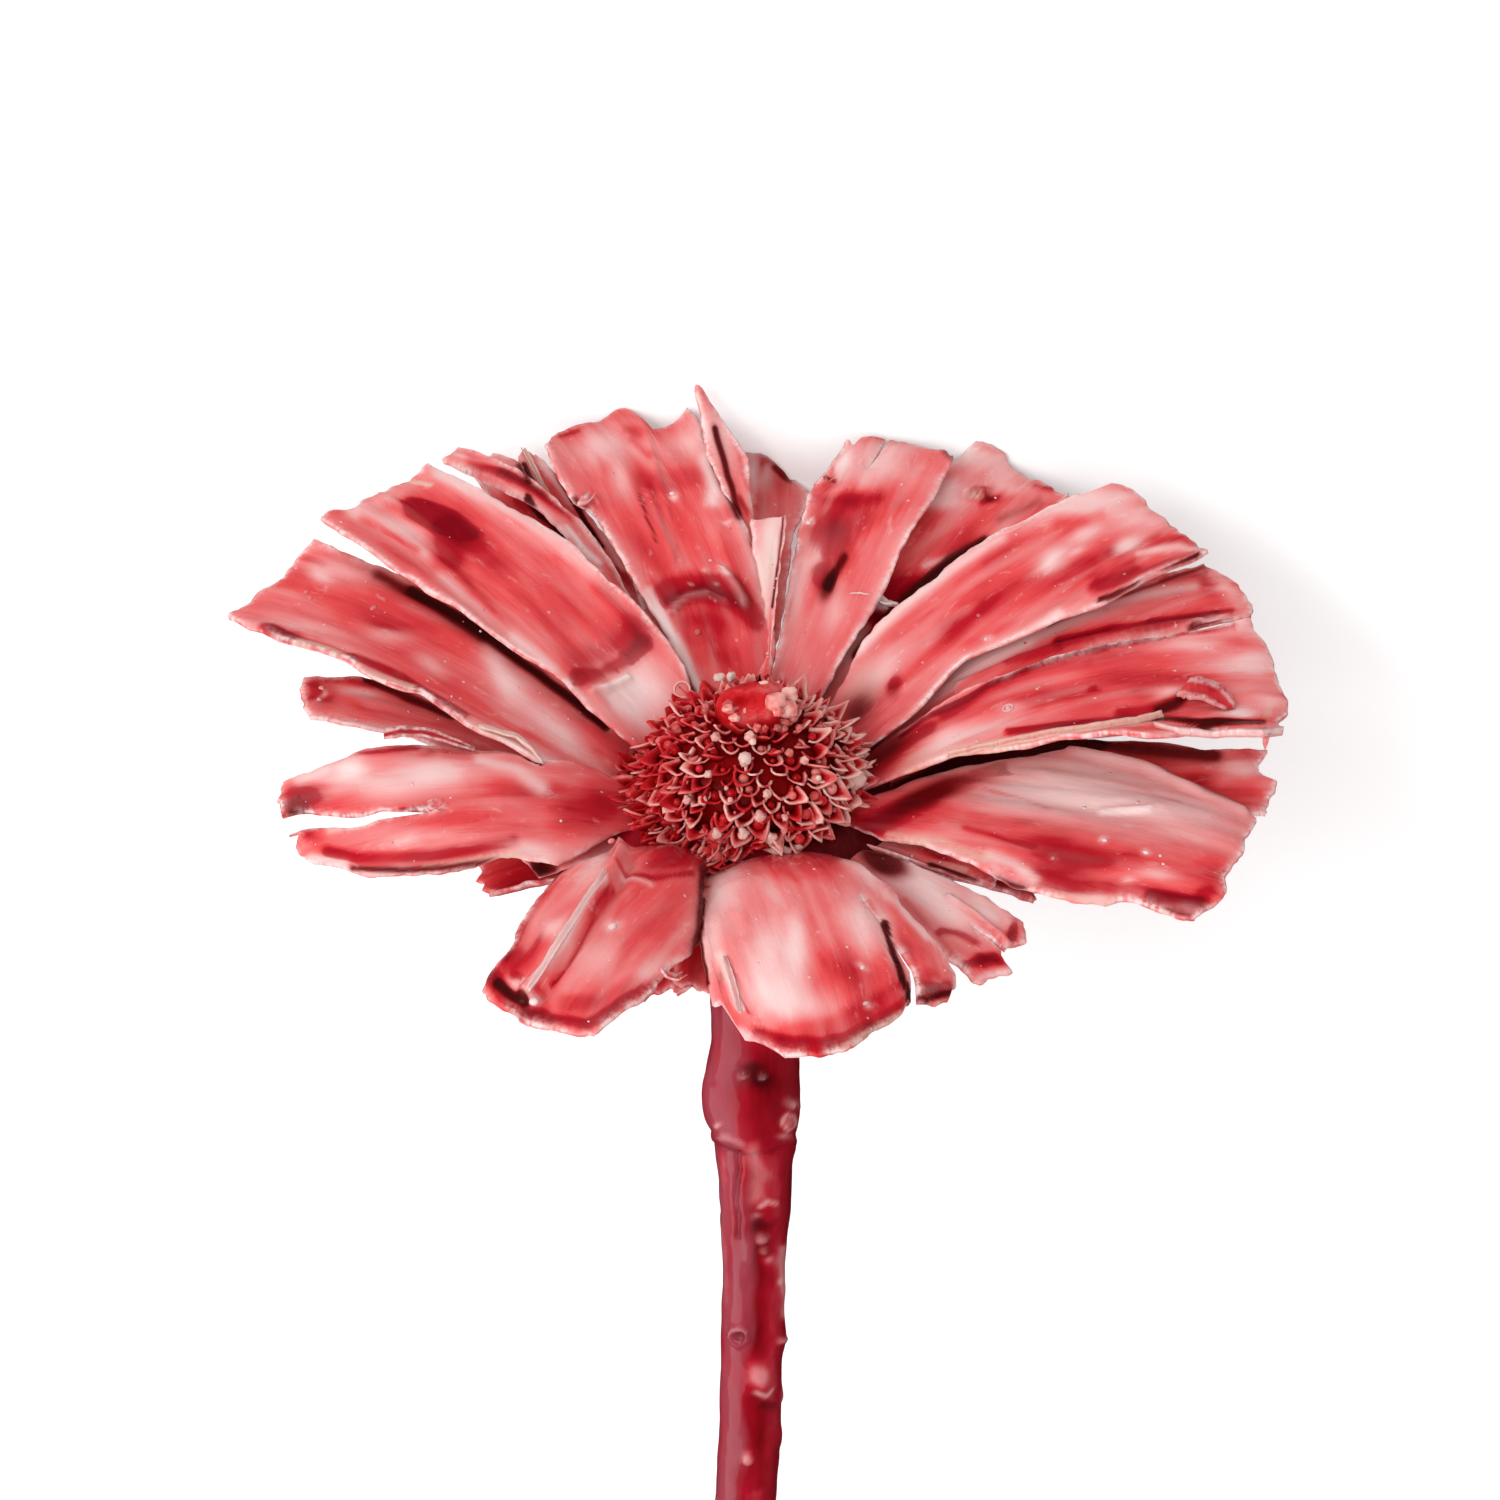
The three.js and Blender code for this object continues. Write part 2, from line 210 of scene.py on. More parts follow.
def waxOnBract(name, thick):
    f = Finish(name)
    where = f.node("ShaderNodeUVMap", {"uv_map": "lay"})
    coat, bloom, torn, dark, edge, under = [
        f.stored(n) for n in ("coat", "bloom", "torn", "dark", "edge", "under")
    ]
    # the map is in centimetres, across and along the bract
    clouds = f.cloud(where, 0.40, (1, 0.30, 1), 3, 0.5, 0.3)
    streaks = f.cloud(where, 0.10, (1, 0.08, 1), 2, 0.5)
    fibres = f.cloud(where, 0.022, (1, 0.035, 1), 2, 0.6)
    grain = f.cloud(where, 0.05, (1, 1, 1), 3, 0.6)
    veins = f.mask(f.cloud(where, 0.07, (1, 0.14, 1), 3, 0.6, 0.7), 0.56, 0.70)
    crumbs = f.cloud(where, 0.07, (1, 1, 1), 2, 0.6)
    scuffs = f.mask(f.cloud(where, 0.13, (1, 0.4, 1), 4, 0.7, 0.5), 0.58, 0.72)
    amount = (
        coat * 0.85 + (clouds - 0.5) * 0.5 + (streaks - 0.5) * 0.18 + (fibres - 0.5) * 0.08 + veins * 0.05 + thick
    )
    colour = f.ramp(amount, [
        (0.0, waxLook["thin"]), (0.20, waxLook["light"]), (0.42, waxLook["coral"]),
        (0.66, waxLook["deep"]), (1.0, waxLook["pooled"]),
    ])
    pooled = f.mask(amount, 0.52, 0.72)
    # the wax turns white where it is knocked and bent, and painted highlights and sheen are laid on with the same
    # white
    white = f.share(bloom * (1 - pooled * 0.75), f.mask(clouds + streaks * 0.6, 0.45, 0.95) * 0.6 + 0.55)
    colour = f.blend(white, colour, waxLook["bloom"])
    colour = f.blend(scuffs * (1 - pooled) * 0.22, colour, waxLook["bloom"])
    # little bubbles caught in the wax
    dots, chance = [
        f.node("ShaderNodeTexVoronoi", {"feature": "F1"},
               {"Vector": where, "Scale": waxLook["bubbles"], "Randomness": 1.0}, out)
        for out in ("Distance", "Color")
    ]
    some = f.mask(f.node("ShaderNodeSeparateColor", {}, {0: chance}), 0.86, 0.9)
    bubble = f.mask(dots, 0.16, 0.07) * some
    colour = f.blend(bubble * 0.55, colour, waxLook["bloom"])
    # torn tissue and rusty crumbs show at the edges, and painted shade sits in the deepest places, the gaps and
    # crevices between the bracts
    rim = f.share(edge, f.mask(crumbs + grain * 0.5, 0.55, 0.9) * 1.0 + 0.3)
    colour = f.blend(rim * 0.85, colour, waxLook["bloom"])
    colour = f.blend(f.share(edge, f.mask(crumbs, 0.62, 0.70)) * 0.45, colour, waxLook["rust"])
    frayed = f.share(torn, f.mask(fibres + grain * 0.6, 0.5, 1.0) * 0.9 + 0.35)
    colour = f.blend(frayed, colour, waxLook["torn"])
    shade = dark * (clouds * 0.6 + 0.7)
    colour = f.blend(f.share(shade, 1.8), colour, waxLook["shaded"], "MULTIPLY")
    colour = f.blend(f.maths("MULTIPLY_ADD", shade, 1.5, True, -0.35), colour, waxLook["shadowDark"])
    # the underside keeps the ribs of the dried tissue
    colour = f.blend(under * f.mask(fibres + streaks, 0.8, 1.25) * 0.25, colour, waxLook["light"])
    rough = waxLook["rough"] + bloom * 0.12 + torn * 0.35 + rim * 0.2 + (grain - 0.5) * 0.12 + under * 0.08
    swell = f.cloud(where, 0.2, (1, 0.6, 1), 2, 0.5, 0.3)
    height = swell * 0.55 + streaks * 0.25 + fibres * 0.12 + grain * 0.10 + bubble * 0.6 + under * streaks * 0.4
    return f.finish({
        "Base Color": colour, "Roughness": rough,
        "Normal": f.bump(height, waxLook["reliefStrength"], waxLook["relief"]),
        "IOR": waxLook["ior"], "Specular IOR Level": waxLook["mirror"],
        "Coat Weight": f.share(1 - dark, waxLook["gloss"]), "Coat Roughness": waxLook["glossRough"],
        "Coat IOR": waxLook["ior"], "Subsurface Weight": waxLook["glow"],
        "Subsurface Radius": waxLook["glowReach"], "Subsurface Scale": waxLook["glowDepth"],
    })


# Where each row of bracts is rooted, as (radius, height), as in the frame.
rows = [(11.0, -0.5), (10.5, -2.6), (9.5, -4.8), (8.2, -8.0), (6.8, -12.0), (11.0, 1.4)]
spineSteps = 60
spineOver = 1.3  # a traced tip may reach past the plain bract's end
straight = (0, 0, 0)

# What each kind of mark adds. dark and shade, and the darkening in a gouge, are painted shade in gaps, grooves
# and under overlapping bracts; white and lip whiten the wax, partly as real bloom and partly as painted
# highlight and sheen; some pool lines also stand for painted shadow along overlaps and near the roots.
markKinds = {
    "pool": {"coat": 0.72, "lift": 0.15},
    "puddle": {"coat": 0.72, "lift": 0.15},
    "red": {"coat": 1.0},
    "pale": {"coat": -1.0},
    "white": {"bloom": 1.0, "coat": -0.25},
    "torn": {"torn": 1.0},
    "dark": {"dark": 1.0},
    "shade": {"dark": 1.0},
    "fold": {"rise": 1.0},
    "lump": {"lift": 1.0},
    "ridge": {"lift": 1.0},
    "bead": {"lift": 1.0},
    "lip": {"lift": 1.0, "bloom": 0.35},
    "gouge": {"lift": -1.0, "dark": 0.8},
}
softKinds = ("white", "pale", "red", "lump", "shade")  # these fade out slowly
spreadKinds = ("white", "pale", "red", "pool", "puddle")  # these are drawn out along the tissue

# Marks are grouped by kind. A spot is (how much, x, y, half width, half height, turn in degrees if any)
# and a line is (how much, half width, point, point, ...), all in the photograph's pixels. These are the
# dark gaps between the narrow bracts at the back left, painted shade with some wax and pale edges,
# which show on whichever bract lies there.
backLeftGaps = {
    "pool": [(0.7, 6, (616, 572), (628, 582), (640, 592))],
    "red": [(0.25, 5, (470, 464), (500, 476), (530, 492), (560, 516))],
    "white": [(0.6, 1.8, (566, 530), (580, 547), (598, 566))],
    "shade": [(0.6, 4, (519, 468), (524, 478), (528, 488))],
    "dark": [(1.0, 3, (546, 463), (555, 472), (563, 484), (572, 498), (577, 508)),
        (0.9, 4, (527, 500), (533, 508), (540, 519)),
        (0.75, 2.6, (544, 519), (556, 533), (572, 549), (588, 566), (598, 577)),
        (0.9, 3, (578, 512), (585, 525), (594, 538), (602, 549))],
}

# The inner bracts. az: where round the stem each is rooted; pitch, turn, roll and cup in degrees and wide
# in millimetres, at the root, halfway and at the end; slits: (where across, where it starts, how far it
# gapes); grid: cells across and along; search: how far out an edge is looked for; tip, minus and plus:
# the torn tip and the two long edges as the photograph shows them.
innerBracts = [{
    "name": "bract_upper_left_broad", "az": 137, "row": 0, "length": 39.5, "pitch": (30, 18, 4),
    "wide": (6, 14.5, 14.5), "cup": (30, 18, 8), "grid": (46, 104),
    "tip": [(321, 515), (326, 511), (336, 509), (352, 509), (366, 501), (384, 494), (402, 484), (414, 478), (421, 470),
        (428, 466)],
    "minus": [(428, 466), (460, 482), (500, 504), (541, 526), (575, 549), (598, 574), (635, 604), (665, 640),
        (690, 675)],
    "plus": [(321, 516), (340, 533), (360, 548), (390, 570), (410, 580), (430, 595), (458, 611), (478, 625),
        (510, 645), (558, 678), (592, 710)],
    "marks": {
        "puddle": [(0.75, 438, 523, 44, 16, 22)],
        "pool": [(0.35, 462, 536, 26, 18, 28), (0.65, 448, 550, 22, 22, 15), (0.3, 486, 556, 34, 18, 38),
            (0.65, 11, (576, 682), (600, 680), (624, 667), (644, 646))],
        "red": [(0.2, 7, (452, 566), (476, 598), (505, 632)), (0.08, 530, 590, 70, 30, 38),
            (0.35, 20, (576, 668), (600, 662), (622, 648), (640, 628)), (0.3, 10, (600, 590), (622, 612), (640, 640)),
            (0.3, 5, (362, 523), (400, 545), (415, 555)), (0.25, 400, 566, 26, 8, 32)],
        "pale": [(0.3, 625, 700, 50, 30, 30), (0.35, 12, (352, 515), (392, 542), (425, 558)),
            (0.25, 6, (440, 580), (480, 612), (552, 672)), (0.35, 11, (440, 478), (500, 508), (560, 545), (590, 566))],
        "white": [(0.5, 2.5, (592, 692), (609, 688), (627, 678)), (0.6, 640, 690, 42, 34, 30),
            (0.35, 400, 530, 22, 8, 28), (0.25, 385, 500, 36, 9, -22), (0.9, 5, (646, 596), (672, 636), (696, 684))],
        "torn": [(0.95, 2.6, (410, 483), (430, 489))],
        "lip": [(0.5, 3, (590, 695), (608, 691), (628, 680))],
        "bead": [(0.3, 548, 617, 3, 3), (0.25, 482, 612, 2.5, 2.5)],
    },
}, {
    "name": "bract_left_long", "az": 158, "row": 1, "length": 41.5, "pitch": (28, 18.5, 1), "wide": (5, 13, 11.5),
    "cup": (20, 14, 8), "grid": (40, 104),
    "tip": [(314, 542), (303, 554), (294, 565), (283, 578), (270, 588), (258, 597), (246, 606), (238, 611), (231, 611),
        (230, 616)],
    "minus": [(314, 542), (330, 549), (350, 558), (375, 567), (392, 573)],
    "plus": [(230, 616), (238, 621), (248, 629), (262, 633), (272, 641), (285, 648), (300, 652), (315, 657),
        (335, 662), (348, 667), (358, 674), (375, 683), (400, 694), (412, 693), (430, 703), (450, 716), (475, 733),
        (500, 744), (540, 765)],
    "marks": {
        "pool": [(0.5, 6, (272, 634), (285, 643), (296, 643)),
            (0.75, 5.5, (352, 664), (376, 672), (400, 682), (425, 698), (462, 720)),
            (0.8, 7, (262, 634), (288, 647), (313, 656), (348, 666))],
        "red": [(0.35, 4, (303, 558), (322, 568)), (0.25, 380, 622, 60, 16, 22), (0.2, 385, 628, 26, 7, 14),
            (0.12, 590, 748, 24, 8, 40)],
        "pale": [(0.25, 520, 700, 60, 24, 38), (0.3, 10, (490, 742), (530, 762), (570, 778))],
        "white": [(0.55, 320, 577, 14, 9, 20), (0.35, 345, 575, 26, 6, 15), (0.3, 300, 632, 40, 7, 12),
            (0.35, 385, 638, 26, 8, 10), (0.3, 430, 668, 18, 9, 30), (0.4, 495, 665, 30, 9, 62),
            (0.35, 510, 690, 24, 12, 60), (0.3, 560, 735, 40, 10, 42), (0.8, 608, 732, 3, 3)],
        "torn": [(0.7, 2.4, (296, 650), (318, 655), (338, 661)), (0.8, 2.6, (366, 678), (385, 684), (410, 693)),
            (0.5, 3, (478, 735), (515, 747))],
        "shade": [(0.95, 5.5, (412, 594), (432, 605), (458, 620), (480, 634), (530, 672), (582, 711), (604, 730)),
            (0.4, 8, (378, 578), (400, 590), (430, 606), (480, 640)),
            (0.2, 13, (352, 556), (385, 580), (430, 606), (480, 640), (530, 680), (582, 720))],
        "bead": [(0.5, 373, 611, 6, 3.5, 10), (0.35, 306, 596, 4, 3, 10), (0.3, 310, 602, 3, 3)],
    },
}, {
    "name": "bract_left_narrow", "az": 172, "row": 2, "length": 34.5, "pitch": (24, 16, 6), "wide": (3, 6.5, 4.5),
    "turn": (0, 0, -3), "grid": (22, 86), "search": 3,
    "tip": [(303, 683), (302, 690), (304, 700), (305, 710), (308, 716), (313, 720)],
    "minus": [(303, 683), (315, 680), (335, 681), (352, 678), (362, 679), (385, 686), (415, 698), (445, 712),
        (480, 728), (520, 745)],
    "plus": [(313, 720), (330, 722), (350, 727), (370, 731), (385, 734), (410, 736)],
    "marks": {
        "pool": [(0.5, 310, 692, 9, 14), (0.5, 6, (318, 683), (350, 684), (372, 690))],
        "red": [(0.3, 326, 703, 12, 10)],
        "pale": [(0.3, 375, 706, 44, 8, 14), (0.35, 4, (345, 726), (400, 735))],
        "white": [(0.75, 358, 697, 22, 5, 6), (0.4, 319, 698, 3, 8)],
        "shade": [(0.8, 5, (366, 684), (410, 703), (450, 720))],
        "bead": [(0.6, 321, 693, 4, 4), (0.5, 319, 703, 3.5, 3.5)],
    },
}, {
    "name": "bract_left_sliver", "az": 182, "row": 1, "length": 24, "pitch": (28, 15, 6), "wide": (3, 4, 2),
    "grid": (14, 60),
    "tip": [(383, 735), (382, 742), (388, 748)],
    "marks": {
        "pool": [(0.5, 396, 740, 14, 7)],
        "white": [(0.3, 425, 738, 18, 4)],
    },
}, {
    "name": "bract_left_split", "az": 193.5, "row": 0, "length": 34, "pitch": (24, 8, -14), "wide": (6, 15.5, 9),
    "cup": (0, -15, -25), "roll": (-4, -14, -18), "slits": [(0.1, 0.56, 2.2)], "grid": (50, 96),
    "tip": [(288, 783), (279, 790), (277, 797), (281, 803), (283, 812), (286, 820), (290, 825), (298, 826), (303, 832),
        (299, 840), (299, 847), (302, 854), (308, 860), (314, 862)],
    "minus": [(540, 770), (515, 752), (500, 748), (480, 748), (450, 747), (420, 749), (400, 750), (370, 752),
        (358, 754), (352, 760), (340, 765), (325, 770), (310, 776), (297, 779), (288, 783)],
    "plus": [(314, 861), (330, 864), (348, 869), (360, 875), (375, 877), (410, 875), (440, 872), (460, 868),
        (475, 866), (490, 860), (510, 857), (530, 860), (560, 862)],
    "marks": {
        "pool": [(0.85, 300, 799, 26, 13, -8), (0.9, 297, 817, 16, 12),
            (0.6, 8, (328, 853), (350, 859), (385, 861), (430, 858), (480, 850), (512, 845)),
            (0.7, 2.5, (312, 818), (350, 817), (390, 814), (424, 810)), (0.4, 582, 822, 34, 22),
            (0.2, 600, 795, 20, 24)],
        "red": [(0.5, 3, (358, 759), (400, 755), (418, 752)), (0.35, 430, 755, 12, 5),
            (0.3, 6, (445, 756), (480, 755)), (0.45, 2.5, (375, 818), (400, 812), (425, 808)),
            (0.35, 312, 836, 12, 7, 30), (0.15, 450, 825, 80, 14), (0.25, 520, 792, 40, 14, 10)],
        "pale": [(0.3, 400, 775, 90, 16), (0.25, 420, 838, 90, 14)],
        "white": [(1.0, 349, 774, 17, 10, -12), (0.5, 6, (300, 784), (325, 775)), (0.4, 385, 790, 40, 10),
            (0.5, 435, 775, 32, 14), (0.5, 8, (480, 762), (515, 775), (540, 790)), (0.4, 2.5, (365, 874), (410, 872)),
            (0.4, 4, (330, 832), (372, 822)), (0.5, 5, (312, 858), (345, 864)), (0.55, 530, 852, 34, 8, 8)],
        "torn": [(0.7, 3, (405, 747), (440, 746), (500, 747)), (0.8, 4, (510, 748), (535, 768)),
            (0.7, 3, (425, 868), (480, 861), (520, 857))],
        "shade": [(0.6, 4, (352, 869), (400, 872), (450, 868), (495, 862))],
        "dark": [(0.5, 297, 817, 11, 6), (0.8, 1.6, (514, 752), (528, 763), (540, 770))],
        "fold": [(0.35, 5, (380, 811), (425, 806))],
        "lip": [(0.4, 2, (428, 808), (436, 801), (444, 808), (436, 815), (428, 808))],
        "bead": [(0.5, 298, 800, 3.5, 3.5)],
    },
}, {
    "name": "bract_lower_left_stub", "az": 204, "row": 1, "length": 11.8, "pitch": (10, 2, -8), "wide": (3.5, 5, 4),
    "grid": (18, 44),
    "marks": {
        "pool": [(0.3, 480, 868, 12, 5)],
        "red": [(0.5, 520, 882, 10, 5, 30)],
        "white": [(0.7, 505, 884, 12, 5, 30)],
        "dark": [(1.0, 542, 876, 22, 13, 10)],
    },
}, {
    "name": "bract_front_folded", "az": 243, "row": 0, "length": 32, "pitch": (36, 5, -17), "wide": (5, 14, 12.5),
    "cup": (-20, -30, -20), "grid": (46, 88),
    "tip": [(483, 986), (487, 998), (496, 1006), (508, 1012), (520, 1020), (535, 1028), (550, 1030), (565, 1032),
        (585, 1036), (595, 1034)],
    "minus": [(636, 812), (620, 825), (600, 838), (580, 852), (565, 866), (552, 882), (545, 893), (537, 903),
        (533, 914), (526, 925), (518, 940), (510, 955), (500, 962), (492, 970), (486, 978), (483, 986)],
    "plus": [(595, 1034), (605, 1026), (620, 1014), (634, 1006), (650, 992), (668, 968), (690, 955), (699, 935),
        (702, 900), (706, 870)],
    "marks": {
        "pool": [(0.35, 11, (565, 1006), (600, 1007), (632, 986)), (0.4, 7, (518, 983), (540, 996)),
            (0.5, 510, 972, 26, 14, -35), (0.35, 518, 950, 12, 24, 25),
            (0.75, 9, (492, 978), (503, 996), (520, 1014), (545, 1022)), (0.55, 675, 858, 42, 20, 8),
            (0.8, 7, (556, 1023), (586, 1027), (606, 1018), (632, 999), (655, 984)),
            (0.5, 5, (562, 880), (540, 905), (523, 935), (507, 962))],
        "red": [(0.55, 2.5, (612, 895), (598, 915), (584, 940), (568, 968), (552, 985)), (0.3, 540, 945, 7, 30, 20),
            (0.4, 614, 852, 6, 7), (0.3, 660, 838, 30, 12, 10), (0.4, 3, (620, 876), (650, 884), (690, 878)),
            (0.15, 650, 930, 30, 40, 15), (0.3, 540, 1014, 20, 8, 10)],
        "pale": [(0.25, 590, 880, 22, 60, 35)],
        "white": [(0.85, 4.5, (603, 893), (588, 908), (578, 926), (566, 950), (548, 972)),
            (0.5, 3, (545, 975), (527, 1000)), (0.9, 634, 822, 13, 10), (0.7, 520, 986, 9, 3.5),
            (0.6, 534, 1004, 7, 6), (0.45, 556, 932, 12, 14, 20), (0.35, 600, 860, 10, 22, 30),
            (0.3, 3, (622, 880), (650, 889)), (0.5, 612, 930, 7, 6), (0.3, 598, 965, 24, 22, 20),
            (0.4, 645, 975, 20, 8, -35)],
        "shade": [(0.75, 8, (703, 872), (702, 900), (700, 930), (693, 958))],
        "dark": [(0.9, 6, (500, 988), (514, 999), (526, 1005)), (0.9, 3.5, (706, 885), (704, 930), (698, 958))],
        "fold": [(1.3, 9, (640, 815), (628, 840), (620, 865), (607, 893), (590, 918), (572, 945), (550, 972),
             (526, 998)),
            (-0.6, 7, (632, 868), (616, 895), (600, 918), (582, 945), (562, 972), (545, 1000))],
        "bead": [(0.8, 534, 1004, 7, 6), (0.7, 614, 850, 5, 5), (0.35, 612, 930, 7, 5)],
    },
}, {
    "name": "bract_front_broad", "az": 284.5, "row": 0, "length": 31.5, "pitch": (28, 2, -24), "wide": (9, 21, 18.5),
    "cup": (-14, -24, -28), "slits": [(0.6, 0.45, 1.0)], "grid": (62, 90),
    "tip": [(712, 1003), (728, 998), (736, 1006), (742, 1018), (740, 1036), (758, 1042), (775, 1048), (783, 1056),
        (800, 1058), (820, 1056), (845, 1051), (860, 1042), (875, 1030), (895, 1020), (912, 1005), (920, 1004),
        (935, 1007), (950, 999), (952, 988), (957, 981)],
    "minus": [(708, 862), (702, 880), (701, 900), (703, 930), (706, 960), (709, 985), (712, 1003)],
    "plus": [(845, 862), (860, 872), (875, 883), (893, 893), (900, 908), (915, 923), (930, 940), (940, 953),
        (957, 981)],
    "marks": {
        "pool": [(0.35, 790, 868, 46, 18), (0.35, 14, (790, 1037), (830, 1032), (880, 1005), (925, 983)),
            (0.75, 9, (758, 1038), (795, 1049), (825, 1049), (850, 1042), (878, 1026), (905, 1010), (945, 990)),
            (0.5, 920, 990, 18, 8, 10)],
        "red": [(0.55, 708, 887, 8, 4), (0.3, 716, 918, 6, 9), (0.35, 708, 938, 7, 6), (0.15, 815, 930, 20, 44, -4),
            (0.22, 845, 975, 42, 20, 10), (0.5, 3, (730, 965), (740, 990), (750, 1015)), (0.5, 724, 982, 4, 12, 10),
            (0.45, 3.5, (868, 905), (880, 925), (888, 950)), (0.3, 905, 950, 8, 20, -30)],
        "pale": [(0.3, 790, 950, 48, 62), (0.25, 860, 925, 26, 34, -20)],
        "white": [(0.55, 725, 890, 24, 34), (0.35, 716, 940, 10, 40), (0.45, 765, 960, 22, 34),
            (0.5, 796, 952, 10, 34), (0.4, 790, 1010, 36, 12), (0.4, 770, 995, 28, 16), (0.3, 860, 935, 16, 24, -20),
            (0.45, 885, 935, 9, 30, -22), (0.4, 6, (845, 865), (875, 890), (895, 905)),
            (0.75, 4, (722, 960), (732, 985), (742, 1010)), (0.4, 733, 985, 3, 22, -12), (0.5, 925, 992, 22, 5, -12),
            (0.4, 4, (900, 912), (925, 940)), (0.4, 862, 970, 5, 3, 20), (0.5, 868, 1008, 6, 3, 40),
            (0.45, 5, (742, 1034), (770, 1045))],
        "torn": [(0.35, 4, (716, 940), (722, 960), (726, 985)), (0.4, 3.5, (845, 1048), (875, 1030), (905, 1014))],
        "dark": [(0.95, 4.5, (884, 925), (892, 955), (899, 980), (910, 1003)),
            (0.6, 4, (905, 1000), (925, 1003), (948, 995)), (0.9, 3, (703, 900), (704, 950), (709, 985))],
        "bead": [(0.4, 862, 970, 4, 3, 20), (0.5, 865, 1006, 5, 3, -20)],
    },
}, {
    "name": "bract_front_right_short", "az": 315.5, "row": 1, "length": 24, "pitch": (4, 0, -4),
    "wide": (4.5, 9.5, 10), "cup": (0, 10, 10), "slits": [(0.05, 0.8, 0.5)], "grid": (34, 70),
    "tip": [(973, 985), (980, 987), (990, 982), (1000, 979), (1015, 976), (1008, 969), (1004, 960), (1008, 953),
        (1015, 948), (1022, 940), (1025, 930), (1020, 920), (1018, 910), (1013, 897)],
    "minus": [(897, 893), (905, 912), (920, 927), (935, 943), (945, 955), (960, 965), (968, 975), (973, 985)],
    "marks": {
        "pool": [(0.55, 2.6, (945, 903), (965, 918), (985, 935), (1005, 955)),
            (0.6, 5, (940, 935), (955, 938), (975, 948)), (0.55, 985, 967, 22, 7), (0.5, 1012, 938, 7, 13, 20),
            (0.9, 992, 893, 24, 10, 30), (0.7, 5, (1000, 905), (1014, 925), (1012, 945)), (0.6, 985, 968, 24, 8, -5)],
        "red": [(0.3, 3, (905, 905), (930, 930), (950, 955))],
        "white": [(0.7, 925, 890, 34, 18, 20), (0.65, 950, 918, 32, 16, 35), (0.6, 985, 915, 22, 12, 40),
            (0.4, 4, (978, 984), (1012, 974)), (0.35, 1010, 915, 7, 16, -10)],
        "dark": [(0.75, 884, 866, 28, 14, 25), (0.8, 950, 868, 28, 10, 25)],
        "fold": [(0.7, 4, (950, 903), (970, 918), (990, 934), (1006, 948))],
    },
}, {
    "name": "bract_right_sliver", "az": 336, "row": 1, "length": 16, "pitch": (5, -1, -5), "wide": (2.5, 3, 2),
    "turn": (0, -1, -3), "grid": (12, 44),
    "marks": {
        "pool": [(0.6, 995, 890, 26, 10, 20), (0.5, 935, 856, 24, 6, 22)],
        "torn": [(0.6, 4, (930, 866), (965, 872))],
        "dark": [(0.8, 5, (930, 868), (965, 881), (1000, 896))],
    },
}, {
    "name": "bract_right_lower_broad", "az": 341, "row": 0, "length": 37.5, "pitch": (9, 4, -6),
    "wide": (3.4, 16.2, 13), "cup": (0, -10, -15), "roll": (3, 9, 14), "grid": (54, 104),
    "tip": [(1190, 921), (1200, 917), (1208, 910), (1214, 904), (1222, 893), (1228, 880), (1233, 865), (1240, 852),
        (1245, 840), (1252, 828), (1254, 822)],
    "minus": [(880, 838), (920, 842), (950, 855), (975, 866), (1000, 880), (1012, 888), (1025, 893), (1040, 897),
        (1060, 902), (1075, 905), (1095, 903), (1110, 905), (1120, 899), (1135, 899), (1148, 907), (1165, 912),
        (1180, 918), (1190, 921)],
    "plus": [(1254, 822), (1248, 812), (1230, 803), (1205, 797), (1185, 786), (1165, 775), (1140, 765), (1110, 757),
        (1075, 750), (1040, 755), (1000, 763), (960, 770)],
    "marks": {
        "pool": [(0.5, 8, (1150, 903), (1180, 910), (1205, 907)), (0.22, 1085, 858, 62, 16, 6),
            (0.3, 1058, 870, 24, 16, 20), (0.15, 1050, 842, 28, 8), (0.25, 1090, 868, 24, 10),
            (0.45, 12, (1036, 884), (1070, 892), (1110, 893), (1150, 896), (1195, 906)),
            (0.6, 5, (1150, 896), (1175, 900), (1198, 905)), (0.45, 1205, 898, 10, 10),
            (0.5, 12, (868, 832), (915, 808), (955, 788), (1000, 772))],
        "red": [(0.25, 1048, 853, 60, 24, 10), (0.3, 22, (868, 832), (915, 808), (955, 788), (1000, 775)),
            (0.5, 1.8, (1000, 776), (1030, 781), (1062, 792)), (0.4, 1.8, (985, 792), (1020, 800), (1050, 812)),
            (0.4, 2.2, (1045, 770), (1080, 780), (1120, 786), (1150, 795)),
            (0.3, 1.8, (1120, 795), (1150, 800), (1180, 808)), (0.2, 1215, 880, 22, 18),
            (0.35, 3, (965, 832), (1000, 842), (1035, 852)), (0.25, 4, (1215, 822), (1248, 830))],
        "pale": [(0.3, 1020, 790, 110, 30, -4), (0.3, 1150, 815, 80, 24, 10)],
        "white": [(0.85, 1085, 792, 100, 30, 8), (0.35, 1200, 820, 60, 14, 12),
            (0.35, 5, (1080, 757), (1140, 768), (1190, 790), (1244, 814)), (0.6, 1185, 910, 14, 4, 10),
            (0.7, 1105, 844, 4, 3), (0.7, 1146, 857, 4, 3), (0.7, 1054, 862, 3, 3),
            (0.45, 3, (1100, 815), (1150, 815)), (0.5, 1128, 883, 8, 2.5), (0.4, 1160, 878, 20, 6, 10),
            (0.6, 7, (990, 860), (1015, 868), (1035, 884)), (0.4, 1090, 900, 26, 4)],
        "torn": [(0.28, 1060, 775, 90, 14, 4), (0.5, 5, (890, 838), (940, 844), (985, 862)),
            (0.4, 3, (1050, 901), (1110, 903))],
        "shade": [(0.45, 3, (1115, 756), (1165, 774), (1205, 796), (1250, 812)),
            (0.8, 5, (905, 848), (945, 860), (985, 878), (1024, 894))],
